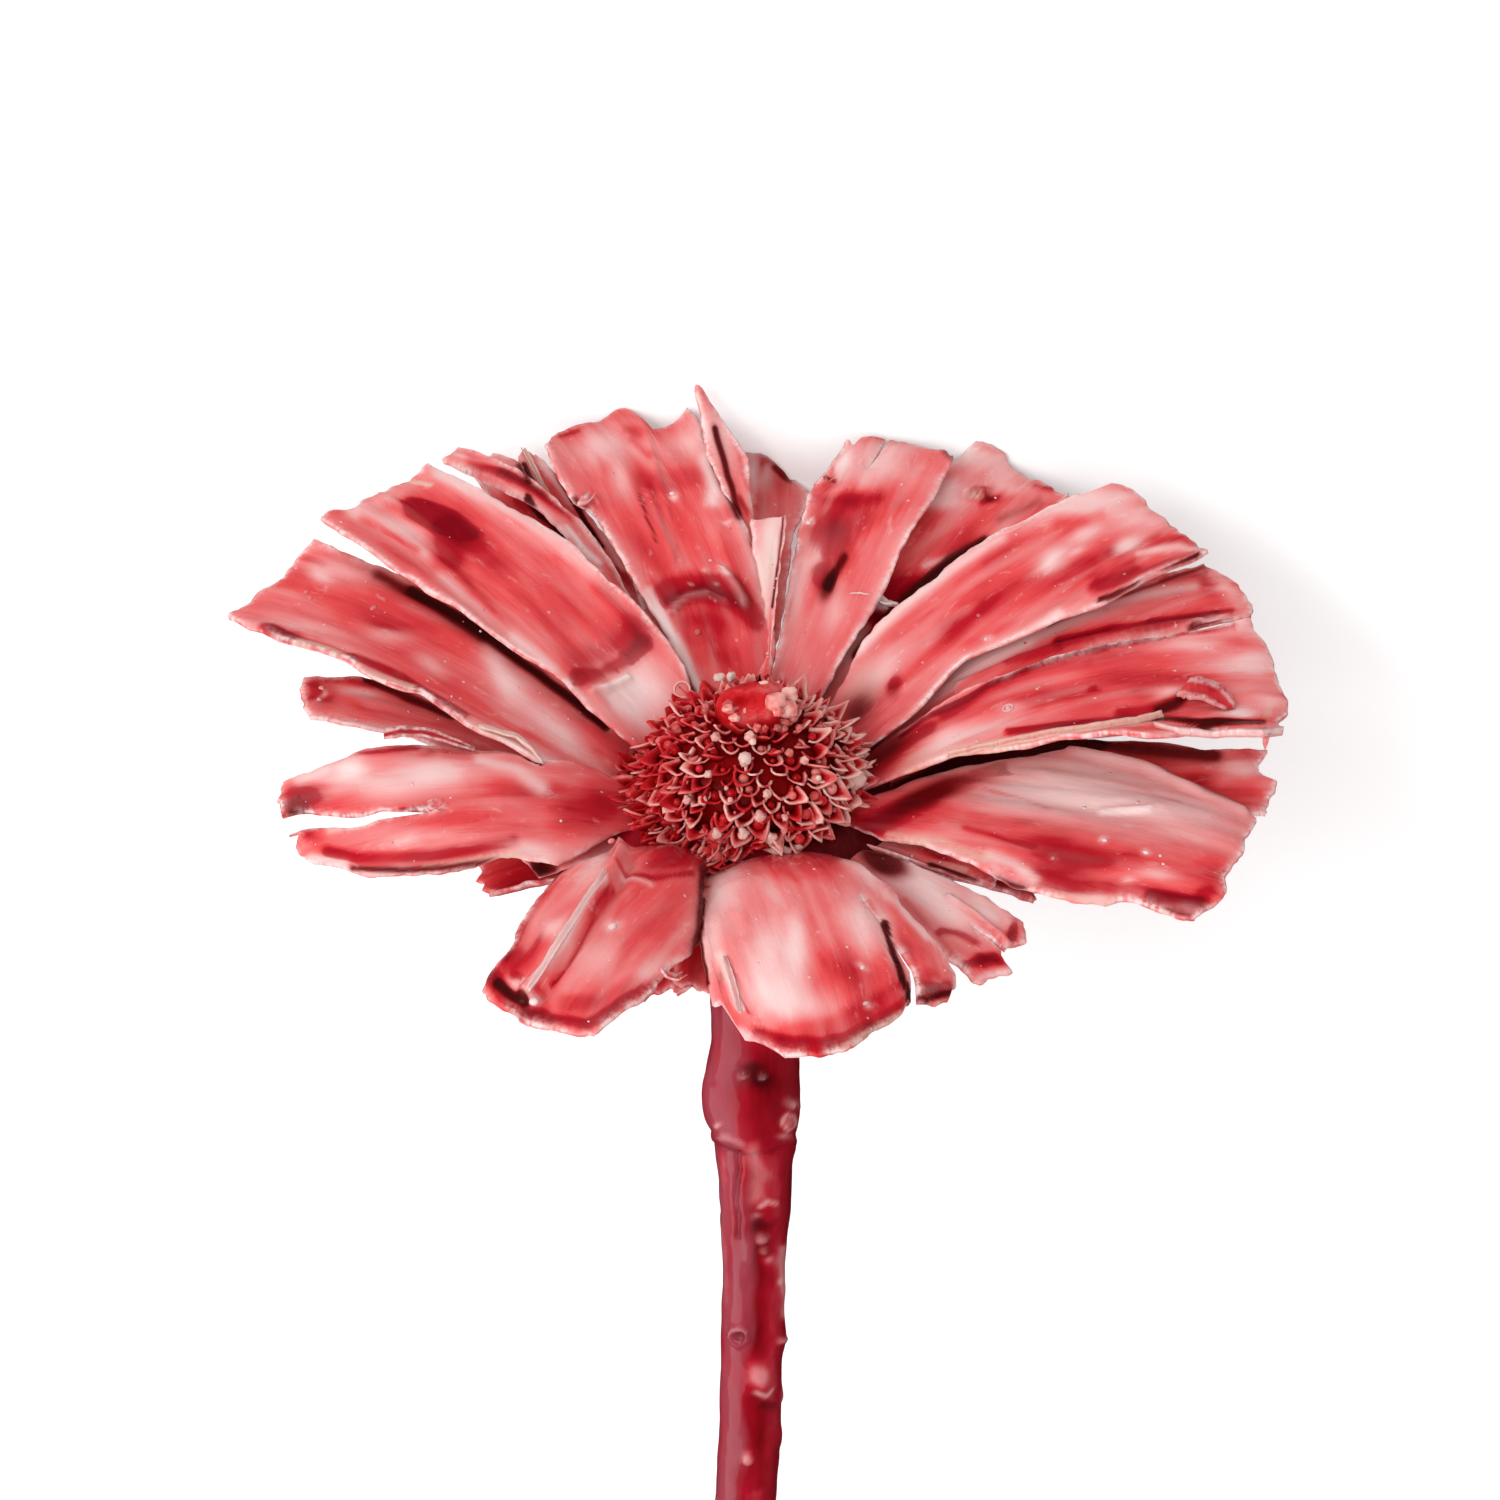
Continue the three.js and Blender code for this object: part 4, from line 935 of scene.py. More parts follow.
# How far a pixel is from a line of points.
def nearLine(x, y, points):
    best = 1e9
    for a, b in zip(points, points[1:]):
        ex, ey = b[0] - a[0], b[1] - a[1]
        f = clamp(((x - a[0]) * ex + (y - a[1]) * ey) / (ex * ex + ey * ey))
        best = min(best, (x - a[0] - ex * f) ** 2 + (y - a[1] - ey * f) ** 2)
    return math.sqrt(best)


def listed(marks, without=()):
    return [(kind, *mark) for kind, some in marks.items() if kind not in without for mark in some]


# Marks with the box that each one reaches.
def readied(marks):
    out = []
    for kind, amount, *shape in marks:
        if isinstance(shape[1], tuple):
            points, far = shape[1:], 2.2 * shape[0]
        else:
            shape += [0] * (5 - len(shape))
            points, far = [shape[:2]], 2.2 * max(shape[2:4])
        xs, ys = [q[0] for q in points], [q[1] for q in points]
        out.append((kind, amount, shape, (min(xs) - far, max(xs) + far, min(ys) - far, max(ys) + far)))
    return out


# What all the marks add up to at one pixel of the photograph.
def marksAt(marks, x, y):
    total = {"coat": 0.0, "lift": 0.0, "bloom": 0.0, "torn": 0.0, "dark": 0.0, "rise": 0.0}
    for kind, amount, shape, (left, right, top, bottom) in marks:
        if not (left < x < right and top < y < bottom):
            continue
        if isinstance(shape[1], tuple):
            reach = nearLine(x, y, shape[1:]) / shape[0]
            if kind == "fold":
                share = max(0.0, 1 - reach)
            else:
                share = math.exp(-1.3 * reach * reach) if kind in softKinds else 1 - smooth(reach - 0.3)
        else:
            cx, cy, rx, ry, turn = shape
            dx, dy = x - cx, y - cy
            c, d = math.cos(math.radians(turn)), math.sin(math.radians(turn))
            q = ((dx * c + dy * d) / rx) ** 2 + ((dy * c - dx * d) / ry) ** 2
            if kind == "bead":
                share = math.sqrt(max(0.0, 1 - q))
            else:
                flat, ease = (0.8, 0.3) if kind == "puddle" else (0.35, 1.1)
                share = math.exp(-1.1 * q) if kind in softKinds else 1 - smooth((math.sqrt(q) - flat) / ease)
        if share > 0.01:
            for channel, weight in markKinds[kind].items():
                total[channel] += amount * weight * share
    return total


# In millimetres: thick and rimThick, with rimIn how far in from the edge it thins; wave, rib, curl and
# drop: how far each stands out; ragged: how far the torn edges run in and out; rimOut: how round the rim
# is; worn and paleSide: how wide those strips are. coat and underCoat: how much wax is above and below.
bractBuild = {
    "thick": 0.95, "rimThick": 0.45, "rimIn": 0.7, "wave": 0.42, "rib": 0.2, "curl": 0.9, "drop": 0.16,
    "ragged": 0.16, "rimOut": 0.22, "worn": 0.26, "paleSide": 0.9, "coat": 0.43, "underCoat": 0.6,
}
faceLayers = ("coat", "bloom", "torn", "dark", "edge", "under")


# A place on a bract's own shape: u runs across between the long edges, w along to the torn tip. The
# upper face stands "rise" over the middle there and the lower face "fall" under it.
def shapeAt(bract, u, w):
    edges, reach = bract["outline"]
    seed, ragged, long = bract["seed"], bract.get("ragged", bractBuild["ragged"]), bract["length"]
    jy = u * through(bract["wide"], 0.9) / 2
    crumble = ragged * sum(
        much * ripple(jy * close, seed, aside)
        for much, close, aside in ((1.6, 0.35, 3.1), (0.9, 0.9, 9.4), (0.2, 2.1, 5.4))
    )
    s = w * (readAt(reach, (u + 1) / 2 * bract["grid"][0]) + crumble / long * w ** 8 * 2)
    width = through(bract["wide"], s)
    nibble = ragged * 1.1 * (ripple(s * long * 0.8, seed, u * 0.6) + 0.35 * ripple(s * long * 1.9, seed, u))
    t = acrossAt(edges, u, s) + nibble * 2 / width * u * abs(u) ** 5
    point, normal = bractAt(bract, s, t, u)
    x, y = s * long, t * width / 2
    wave = smooth(s * 4) * (
        bractBuild["wave"] * ripple(y / 4, x / 13, seed)
        + bractBuild["rib"] * ripple(y / 1.6, x / 12, seed + 5)
        + bractBuild["curl"] * abs(u) ** 5 * (ripple(x / 9, seed + 31, u) + 0.15)
    )
    # the marks are drawn out along the tissue, so that none is a clean oval
    px, py = pixel = pixelOf(point)
    run = bract["run"]
    drawn = 7 * ripple(y * 0.9, x * 0.12, seed + 3) + 2.5 * ripple(y * 2.2, x * 0.25, seed + 4)
    aside = 2.4 * ripple(x * 0.45, y * 0.45, seed + 6)
    made = marksAt(bract["spread"], px + run[0] * drawn - run[1] * aside, py + run[1] * drawn + run[0] * aside)
    for channel, value in marksAt(bract["firm"], px + aside * 0.4, py - aside * 0.4).items():
        made[channel] += value
    sideNear = (1 - abs(u)) * width / 2
    rimNear = min(sideNear, (1 - w) * long)
    for where, start, gap in bract.get("slits", []):
        if w > start:
            rimNear = min(rimNear, abs(u - where) * width / 2)
    drops = max(0.0, ripple(y / 1.7, x / 2.6, seed + 11) - 0.28) * 1.1
    inner = 1 - math.exp(-rimNear / bractBuild["rimIn"])
    body = bractBuild["rimThick"] + (bractBuild["thick"] - bractBuild["rimThick"]) * inner
    return {
        "middle": point + normal * (made["rise"] + wave), "normal": normal,
        "rise": body / 2 + made["lift"] + drops * bractBuild["drop"], "fall": body / 2, "s": s, "x": x, "y": y,
        "made": made, "sideNear": sideNear, "rimNear": rimNear, "drops": drops, "pixel": pixel,
    }


# What the materials read from the vertices.
def floatLayers(bm, names):
    return {n: bm.verts.layers.float.new(n) for n in names}


def makeBract(bract, number, material):
    bract["spine"] = spineOf(bract)
    bract["outline"] = outlineOf(bract)
    columns, lengths = bract["grid"]
    depth = bract.get("depth", 0.0)
    bract["seed"] = seed = number * 7.31
    bm = bmesh.new()
    bmesh.ops.create_grid(bm, x_segments=columns, y_segments=lengths, size=1)
    uvLayer = bm.loops.layers.uv.new("lay")
    stored = floatLayers(bm, faceLayers)
    side = bm.verts.layers.float.new("side")
    grid, mid, out, lift = [bm.verts.layers.float_vector.new(n) for n in ("gridAt", "mid", "out", "liftBy")]
    # a slit opens along the nearest line of the grid
    slits = []
    for where, start, gap in bract.get("slits", []):
        column = round((where + 1) / 2 * columns) / columns * 2 - 1
        slits.append((column, start, gap))
        bmesh.ops.split_edges(bm, edges=[
            e for e in bm.edges
            if all(abs(v.co.x - column) < 1e-5 and (v.co.y + 1) / 2 > start - 1e-6 for v in e.verts)
        ])
        for v in bm.verts:
            if abs(v.co.x - column) < 1e-5 and (v.co.y + 1) / 2 > start:
                centre = sum(f.calc_center_median().x for f in v.link_faces) / len(v.link_faces)
                v.co.x = column + math.copysign(1e-4, centre - column)
    bract["slits"] = slits
    root, end = pixelOf(bractAt(bract, 0.3, 0)[0]), pixelOf(bractAt(bract, 1, 0)[0])
    bract["run"] = Vector((end[0] - root[0], end[1] - root[1])).normalized()
    marks = listed(bract.get("marks", {}), ["bead"]) + (listed(backLeftGaps) if "back_left" in bract["name"] else [])
    bract["spread"] = readied([m for m in marks if m[0] in spreadKinds and not isinstance(m[3], tuple)])
    bract["firm"] = readied([m for m in marks if m[0] not in spreadKinds or isinstance(m[3], tuple)])
    onMap = {}
    for v in bm.verts:
        u, w = v.co.x, (v.co.y + 1) / 2
        spot = shapeAt(bract, u, w)
        s, x, y, made, drops = [spot[k] for k in ("s", "x", "y", "made", "drops")]
        edge = (
            math.exp(-spot["rimNear"] / bractBuild["worn"]) * smooth((s - 0.12) * 8)
            * clamp(0.7 + 1.3 * ripple(x * 0.5, y * 0.5, seed + 17)) * (0.5 if depth else 1)
        )
        paleSide = (
            math.exp(-spot["sideNear"] / bractBuild["paleSide"])
            * clamp(0.6 + 0.9 * ripple(x * 0.16, u, seed + 13)) * smooth(s * 3)
        )
        v[mid] = spot["middle"]
        v[out] = spot["normal"]
        v[lift] = (spot["rise"], spot["fall"], 0)
        v[grid] = (u, w, 0)
        v[stored["coat"]] = (
            bractBuild["coat"] + depth + made["coat"] + 0.16 * ripple(y / 3, x / 10, seed + 2) + drops * 0.15
            - 0.2 * paleSide + 0.1 * smooth(1 - s * 5)
        )
        v[stored["bloom"]] = clamp(
            made["bloom"] + 0.22 * paleSide + 0.3 * max(0.0, ripple(y / 1.6, x / 9, seed + 8) - 0.12)
        )
        v[stored["torn"]] = clamp(made["torn"])
        v[stored["dark"]] = clamp(made["dark"])
        v[stored["edge"]] = edge
        v[side] = -1.0
        onMap[(round(u, 4), round(w, 4))] = (y / 10 + number * 3.7, x / 10)
    for face in bm.faces:
        for loop in face.loops:
            g = loop.vert[grid]
            loop[uvLayer].uv = onMap[(round(g.x, 4), round(g.y, 4))]
    for v in vertsOf(bmesh.ops.extrude_face_region(bm, geom=list(bm.faces), use_keep_orig=True)["geom"]):
        v[side] = 1.0
    for v in bm.verts:
        rise, fall, _ = v[lift]
        v.co = v[mid] + v[out] * (rise if v[side] > 0 else -fall)
        if v[side] < 0:
            v[stored["under"]] = 1.0
            under = ripple(v[grid].x * 1.5, v[grid].y * 4, seed + 21)
            v[stored["coat"]] = bractBuild["underCoat"] + depth + 0.5 * under
            v[stored["bloom"]] = 0.0
            # painted shade on the underside near the root
            v[stored["dark"]] = 0.35 * clamp(1 - v[grid].y * 4)
    # the walls get a rounded rim
    walls = [e for e in bm.edges if e.verts[0][side] * e.verts[1][side] < 0]
    for v in vertsOf(bmesh.ops.subdivide_edges(bm, edges=walls, cuts=1)["geom_inner"]):
        outward = Vector((0, 0, 0))
        for e in v.link_edges:
            other = e.other_vert(v)
            if abs(other[side]) > 0.5:
                for e2 in other.link_edges:
                    inner = e2.other_vert(other)
                    if inner[side] * other[side] > 0.5 and len(inner.link_faces) == 4 and all(
                        abs(q[side]) > 0.5 for q in [f.other_vert(inner) for f in inner.link_edges]
                    ):
                        outward += other.co - inner.co
        if outward.length > 0:
            v.co += outward.normalized() * bractBuild["rimOut"] * (0.8 + 0.5 * ripple(*v.co))
        v[stored["edge"]] = clamp(0.5 + 1.5 * ripple(v.co.x * 0.8, v.co.y * 0.8, v.co.z * 0.8))
        v[stored["under"]] = 0.5
    for layer in (grid, mid, out, lift):
        bm.verts.layers.float_vector.remove(layer)
    bm.verts.layers.float.remove(bm.verts.layers.float["side"])
    return placed(bm, "waxed_" + bract["name"], material, [bract["name"]], True)


lowest, eased = 0.0001, 0.0011  # metres


# A tip that would reach through the floor comes towards the camera instead, so it looks the same there.
def aboveFloor(bm):
    lens = layDown @ eye
    for v in bm.verts:
        if v.co.z < lowest + eased:
            target = lowest + eased * math.exp((v.co.z - lowest - eased) / eased)
            v.co += (lens - v.co) * ((target - v.co.z) / (lens.z - v.co.z))


# Lays a piece down in its place, gives it its material and rides it on the flower's one body.
def placed(bm, name, material, nodes, nearFloor=False):
    bmesh.ops.recalc_face_normals(bm, faces=bm.faces)
    bmesh.ops.transform(bm, matrix=layDown, verts=bm.verts)
    if nearFloor:
        aboveFloor(bm)
    for face in bm.faces:
        face.smooth = True
    mesh = bpy.data.meshes.new(name)
    bm.to_mesh(mesh)
    bm.free()
    mesh.materials.append(material)
    piece = bpy.data.objects.new(name, mesh)
    bpy.context.scene.collection.objects.link(piece)
    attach(piece, "root")
    if nodes:
        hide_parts(*nodes)
    return piece


def onTop(spot):
    return spot["middle"] + spot["normal"] * spot["rise"]


farthestOut = 1.5


# The place on a bract's upper face that the photograph shows at a pixel. A pixel a little outside its
# edge is reached from the edge, by as much as farthestOut in millimetres.
def underPixel(bract, x, y):
    def near(u, w):
        u, w = clamp(u, -1, 1), clamp(w)
        return math.dist(shapeAt(bract, u, w)["pixel"], (x, y)), u, w

    if "seen" not in bract:
        bract["seen"] = [
            (shapeAt(bract, i / 8, j / 36)["pixel"], i / 8, j / 36) for i in range(-8, 9) for j in range(2, 37)
        ]
    far, u, w = min((math.dist(pixel, (x, y)), u, w) for pixel, u, w in bract["seen"])
    for halving in (1, 2, 4, 8, 16, 32):
        far, u, w = min(near(u + i / 14 / halving, w + j / 60 / halving) for i in (-1, 0, 1) for j in (-1, 0, 1))
    spot = shapeAt(bract, u, w)
    over = Vector((x - spot["pixel"][0], y - spot["pixel"][1])) / pixelsPerMm
    if over.length > farthestOut:
        over *= farthestOut / over.length
    return onTop(spot) + sideways * over.x - upwards * over.y, spot["normal"]


# Loose strips and flakes of the torn tissue, along points of the photograph. half: half width in pixels
# at the start, the middle and the end; above: how far over the bract's face, and tilt and curl: how much
# one long edge, or both, lift away, in millimetres; rim: how worn the edges are.
shreds = [{
    "name": "chip_on_right_broad", "on": "bract_right_broad", "half": (11, 14, 6), "above": (0.5, 0.7, 0.4),
    "tilt": 0.1, "curl": 0.1, "coat": 0.62, "bloom": 0.0, "rim": 0.45,
    "points": [(1184, 698), (1196, 700), (1210, 704), (1222, 709), (1230, 714)],
}, {
    "name": "torn_edge_right_broad", "on": "bract_right_broad", "half": (1.2, 2.4, 1.2), "above": (0.1, 0.3, 0.3),
    "tilt": -0.3, "curl": 0.2, "coat": 0.4, "torn": 0.65, "rim": 0.4,
    "points": [(950, 759), (990, 749), (1053, 740), (1100, 735), (1140, 728), (1164, 722)],
}, {
    "name": "pink_edge_right_broad", "on": "bract_right_broad", "half": (3, 4, 1.5), "above": (0.3, 0.5, 0.3),
    "tilt": 0.4, "curl": 0.4, "coat": 0.36, "bloom": 0.4, "rim": 0.6,
    "points": [(1158, 733), (1180, 737), (1215, 740), (1245, 741), (1262, 740), (1282, 737)],
}, {
    "name": "hook_right_broad", "on": "bract_right_broad", "half": (3, 3.5, 2), "above": (0.2, 0.2, 0.1), "tilt": 0.2,
    "curl": 0.3, "coat": 0.6, "bloom": 0.2,
    "points": [(1262, 733), (1266, 740), (1265, 748)],
}, {
    "name": "lip_on_back_right", "on": "bract_back_right", "half": (3, 5, 2.5), "above": (0.3, 0.8, 0.4), "tilt": 0.7,
    "curl": 0.5, "coat": 0.3, "bloom": 0.8, "rim": 0.7,
    "points": [(851, 604), (862, 603), (875, 606), (888, 611), (899, 616)],
}, {
    "name": "tan_strip_back_right", "on": "bract_back_right", "half": (3, 5, 3), "above": (0.3, 0.7, 0.3), "tilt": 0.7,
    "curl": 0.4, "coat": 0.3, "torn": 0.65, "bloom": 0.25, "rim": 0.8,
    "points": [(886, 488), (881, 502), (876, 518), (869, 536), (860, 552)],
}, {
    "name": "flap_front_broad", "on": "bract_front_broad", "half": (1.4, 2.8, 1), "above": (0.1, 0.3, 0.2),
    "tilt": 0.3, "curl": 0.3, "coat": 0.32, "bloom": 0.5, "rim": 0.5,
    "points": [(728, 962), (733, 978), (738, 996), (742, 1016)],
}, {
    "name": "crease_front_folded", "on": "bract_front_folded", "half": (1.2, 2.4, 1.2), "above": (0.2, 0.4, 0.3),
    "tilt": 0.4, "curl": 0.2, "coat": 0.3, "bloom": 0.6, "rim": 0.5,
    "points": [(607, 884), (600, 898), (588, 914), (576, 934), (562, 957), (546, 980), (531, 999)],
}, {
    "name": "sliver_by_left_split", "on": "bract_left_split", "half": (5.5, 5.5, 2), "above": (0.3, 0.6, 0.2),
    "tilt": 0.3, "curl": 0.2, "coat": 0.85, "bloom": 0.1, "rim": 0.7,
    "points": [(384, 742), (400, 741), (422, 741), (448, 744), (475, 749)],
}, {
    "name": "torn_edge_left_long", "on": "bract_left_long", "half": (2.5, 4, 1.5), "above": (0.2, 0.4, 0.2),
    "tilt": 0.3, "curl": 0.2, "coat": 0.2, "torn": 0.6, "bloom": 0.5, "rim": 0.3,
    "points": [(476, 732), (496, 740), (512, 746), (528, 757), (541, 769)],
}, {
    "name": "curl_by_stem_top", "on": "bract_front_folded", "half": (3, 4, 3), "above": (0.2, 0.4, 0.2), "tilt": 0.4,
    "curl": 0.5, "coat": 0.5, "bloom": 0.05, "rim": 0.6,
    "points": [(659, 972), (664, 979), (672, 982), (680, 977)],
}, {
    "name": "bead_on_back_broad", "on": "bract_back_broad", "half": (4, 5, 3), "above": (0.3, 0.8, 0.5), "tilt": 0.4,
    "curl": 0.7, "coat": 0.6, "bloom": 0.35, "rim": 0.6,
    "points": [(577, 506), (582, 508), (587, 506), (590, 501)],
}, {
    "name": "strip_back_left", "on": "bract_back_left_sliver", "half": (2, 5, 2), "above": (0.2, 0.4, 0.2),
    "tilt": 0.4, "curl": 0.4, "coat": 0.45, "bloom": 0.5, "rim": 0.6,
    "points": [(592, 512), (600, 524), (609, 538), (620, 556), (630, 572)],
}, {
    "name": "rim_of_channel", "on": "bract_back_left_channel", "half": (2, 2.4, 1.4), "above": (0.3, 0.4, 0.2),
    "tilt": 0.2, "curl": 0.3, "coat": 0.3, "torn": 0.5, "bloom": 0.5, "rim": 0.4,
    "points": [(523, 454), (529, 466), (535, 478), (541, 490), (550, 503)],
}]


shredBuild = {"thick": 0.3, "cells": 3.5, "across": 6, "ragged": 0.3, "wave": 0.12}


def makeShred(shred, number, material):
    bract = [b for b in innerBracts if b["name"] == shred["on"]][0]
    places = [underPixel(bract, *q) for q in shred["points"]]

    def at(w):
        k = min(int(clamp(w) * (len(places) - 1)), len(places) - 2)
        share = clamp(w) * (len(places) - 1) - k
        return [a.lerp(b, share) for a, b in zip(places[k], places[k + 1])]

    long = sum((a[0] - b[0]).length for a, b in zip(places, places[1:]))
    along = max(8, int(long * shredBuild["cells"]))
    bm = bmesh.new()
    bmesh.ops.create_grid(bm, x_segments=shredBuild["across"], y_segments=along, size=1)
    uvLayer = bm.loops.layers.uv.new("lay")
    stored = floatLayers(bm, faceLayers)
    out = bm.verts.layers.float_vector.new("out")
    for v in bm.verts:
        u, w = v.co.x, (v.co.y + 1) / 2
        place, face = at(w)
        across = (at(w + 0.08)[0] - at(w - 0.08)[0]).cross(face).normalized()
        # a strip that the photograph shows edge on is wider than it looks
        seen = clamp(math.dist(pixelOf(place + across), pixelOf(place)) / pixelsPerMm, 0.6)
        half = through(shred["half"], w) / pixelsPerMm / seen
        half *= 1 + shredBuild["ragged"] * ripple(w * long * 1.2, u * 0.7, number * 3.3)
        rise = through(shred["above"], w) + shred["tilt"] * u * 0.5 + shred["curl"] * (u * u - 0.3)
        rise += shredBuild["wave"] * ripple(w * long * 0.7, u, number * 5.1)
        v.co = place + across * half * u + face * rise
        v[out] = face
        v[stored["coat"]] = shred["coat"] + 0.15 * ripple(u, w * 5, number)
        v[stored["bloom"]] = shred.get("bloom", 0.0)
        v[stored["torn"]] = shred.get("torn", 0.0)
        v[stored["edge"]] = shred.get("rim", 0.0) * (abs(u) > 0.6)
        v.normal = face
    for face in bm.faces:
        for loop in face.loops:
            x, y = pixelOf(loop.vert.co)
            loop[uvLayer].uv = (x / pixelsPerMm / 10 + number, y / pixelsPerMm / 10)
    for v in vertsOf(bmesh.ops.extrude_face_region(bm, geom=list(bm.faces), use_keep_orig=True)["geom"]):
        v.co -= v[out] * shredBuild["thick"]
        v[stored["under"]] = 1.0
    bm.verts.layers.float_vector.remove(out)
    return placed(bm, shred["name"], material, [], True)


# A small shape made once is set down many times.
def shapeOf(make):
    small = bmesh.new()
    make(small)
    mesh = bpy.data.meshes.new("small shape")
    small.to_mesh(mesh)
    small.free()
    return mesh


def setDown(bm, mesh):
    before = len(bm.verts)
    bm.from_mesh(mesh)
    bm.verts.ensure_lookup_table()
    return [bm.verts[i] for i in range(before, len(bm.verts))]


def ballShape(around, up):
    return shapeOf(lambda small: bmesh.ops.create_uvsphere(small, u_segments=around, v_segments=up, radius=1))


# Beads, bubbles and specks standing on the wax: the marked ones, rings and a scatter of small ones.
# small, large and ringThick are radii in millimetres; a ring is (bract, x, y, radius) in pixels.
dropLook = {
    "scatter": 190, "small": 0.06, "large": 0.17, "marked": 0.75, "ringThick": 0.10, "ringUp": 0.04,
    "rings": [("bract_upper_left_broad", 683, 690, 8), ("bract_left_split", 434, 808, 8),
              ("bract_right_broad", 1010, 713, 5)],
}


def makeDrops(material):
    rng = random.Random(31)
    bm = bmesh.new()
    uvLayer = bm.loops.layers.uv.new("lay")
    stored = floatLayers(bm, faceLayers)

    def settle(verts, place, face, size, coat, bloom):
        turn = face.to_track_quat("Z", "Y").to_matrix().to_4x4()
        for v in verts:
            v.co = place + turn @ Vector((v.co.x * size[0], v.co.y * size[1], v.co.z * size[2]))
            v[stored["coat"]], v[stored["bloom"]] = coat, bloom
        for face in {f for v in verts for f in v.link_faces}:
            for loop in face.loops:
                loop[uvLayer].uv = (place.x / 10 + loop.vert.co.x / 10, place.y / 10)

    for bract in innerBracts:
        marks = readied(listed(bract["marks"], ("bead", "fold")))
        for _, x, y, rx, ry, *_ in bract["marks"].get("bead", []):
            place, face = underPixel(bract, x, y)
            made = marksAt(marks, x, y)
            k = dropLook["marked"] / pixelsPerMm
            size = (rx * k, ry * k, 0.7 * min(rx, ry) * k)
            settle(setDown(bm, ballShape(12, 8)), place, face, size, 0.45 + made["coat"], clamp(made["bloom"] + 0.2))
    speck = ballShape(8, 5)
    for _ in range(dropLook["scatter"]):
        bract = innerBracts[rng.randrange(len(innerBracts))]
        spot = shapeAt(bract, rng.uniform(-0.85, 0.85), rng.uniform(0.12, 0.96))
        r = dropLook["small"] + (dropLook["large"] - dropLook["small"]) * rng.random() ** 3
        settle(setDown(bm, speck), onTop(spot), spot["normal"], (r, r * rng.uniform(0.7, 1.2), r * 0.7),
               rng.uniform(0.1, 0.6), rng.choice((0.0, 0.3, 0.9)))
    for name, x, y, r in dropLook["rings"]:
        bract = [b for b in innerBracts if b["name"] == name][0]
        place, face = underPixel(bract, x, y)

        def makeRing(small):
            tube = bmesh.ops.create_circle(small, segments=8, radius=dropLook["ringThick"])["verts"]
            bmesh.ops.rotate(small, verts=tube, cent=(0, 0, 0), matrix=Matrix.Rotation(math.radians(90), 3, "X"))
            bmesh.ops.translate(small, verts=tube, vec=(r / pixelsPerMm, 0, 0))
            bmesh.ops.spin(small, geom=small.edges[:], cent=(0, 0, 0), axis=(0, 0, 1), angle=2 * math.pi,
                           steps=28, use_merge=True)

        settle(setDown(bm, shapeOf(makeRing)), place + face * dropLook["ringUp"], face, (1, 1, 1), 0.35, 0.5)
    return placed(bm, "wax_beads", material, [])


innerWax = waxOnBract("wax on the inner bracts", 0.0)
outerWax = waxOnBract("wax on the outer bracts", 0.14)
for number, bract in enumerate(innerBracts):
    makeBract(bract, number, innerWax)
print("inner bracts made")
for number, shred in enumerate(shreds):
    makeShred(shred, number + 80, innerWax)
makeDrops(innerWax)
print("shreds and beads made")
for number, bract in enumerate(outerBracts):
    makeBract(bract, number + 40, outerWax)
print("outer bracts made")

# The seed head. centre, base, radius and height of its dome as in the frame; deep: how far under it the
# scales are rooted; count of the scales, and crowd of the ones that push out at its foot on the left;
# cell, tall and thick of one scale; bubbles: how many of them hold one.
headLook = {
    "centre": (0.9, 0.0), "base": 1.0, "radius": 10.4, "height": 8.0, "deep": 0.7,
    "count": 270, "crowd": 46, "crowdAt": (158, 262), "cell": 0.94, "tall": 1.35, "thick": 0.20, "bubbles": 0.65,
    "ramp": [(0.0, (0.16, 0.001, 0.001)), (0.26, (0.35, 0.003, 0.005)), (0.44, (0.54, 0.018, 0.024)),
             (0.62, (0.66, 0.14, 0.13)), (1.0, (0.84, 0.46, 0.40))],
    "grey": (0.66, 0.52, 0.46), "shaded": (0.05, 0.001, 0.002), "gloss": 0.5, "relief": 0.0002,
}


def waxOnHead():
    f = Finish("wax on the seed head")
    where = f.node("ShaderNodeTexCoord", out="Object")
    rim, pale, dark = [f.stored(n) for n in ("rim", "pale", "dark")]
    clouds = f.cloud(where, 0.0022, detail=3, rough=0.6)
    grain = f.cloud(where, 0.0005, detail=3, rough=0.6)
    colour = f.ramp(rim + (clouds - 0.5) * 0.55 + (grain - 0.5) * 0.2, headLook["ramp"])
    colour = f.blend(f.share(pale, clouds * 0.8 + 0.6), colour, headLook["grey"])
    # painted shade where the dark attribute is set, on the dome and at the foot of the scales
    colour = f.blend(dark, colour, headLook["shaded"])
    return f.finish({
        "Base Color": colour, "Roughness": 0.2 + grain * 0.2,
        "Normal": f.bump(clouds * 0.5 + grain * 0.3, 0.6, headLook["relief"]),
        "IOR": 1.4, "Specular IOR Level": 0.1,
        "Coat Weight": f.share(f.mask(rim, 0.1, 0.3) * (1 - dark), headLook["gloss"]), "Coat Roughness": 0.06,
        "Subsurface Weight": 0.1, "Subsurface Radius": (1.0, 0.25, 0.2), "Subsurface Scale": 0.0008,
    })


headCentre = Vector((*headLook["centre"], headLook["base"]))


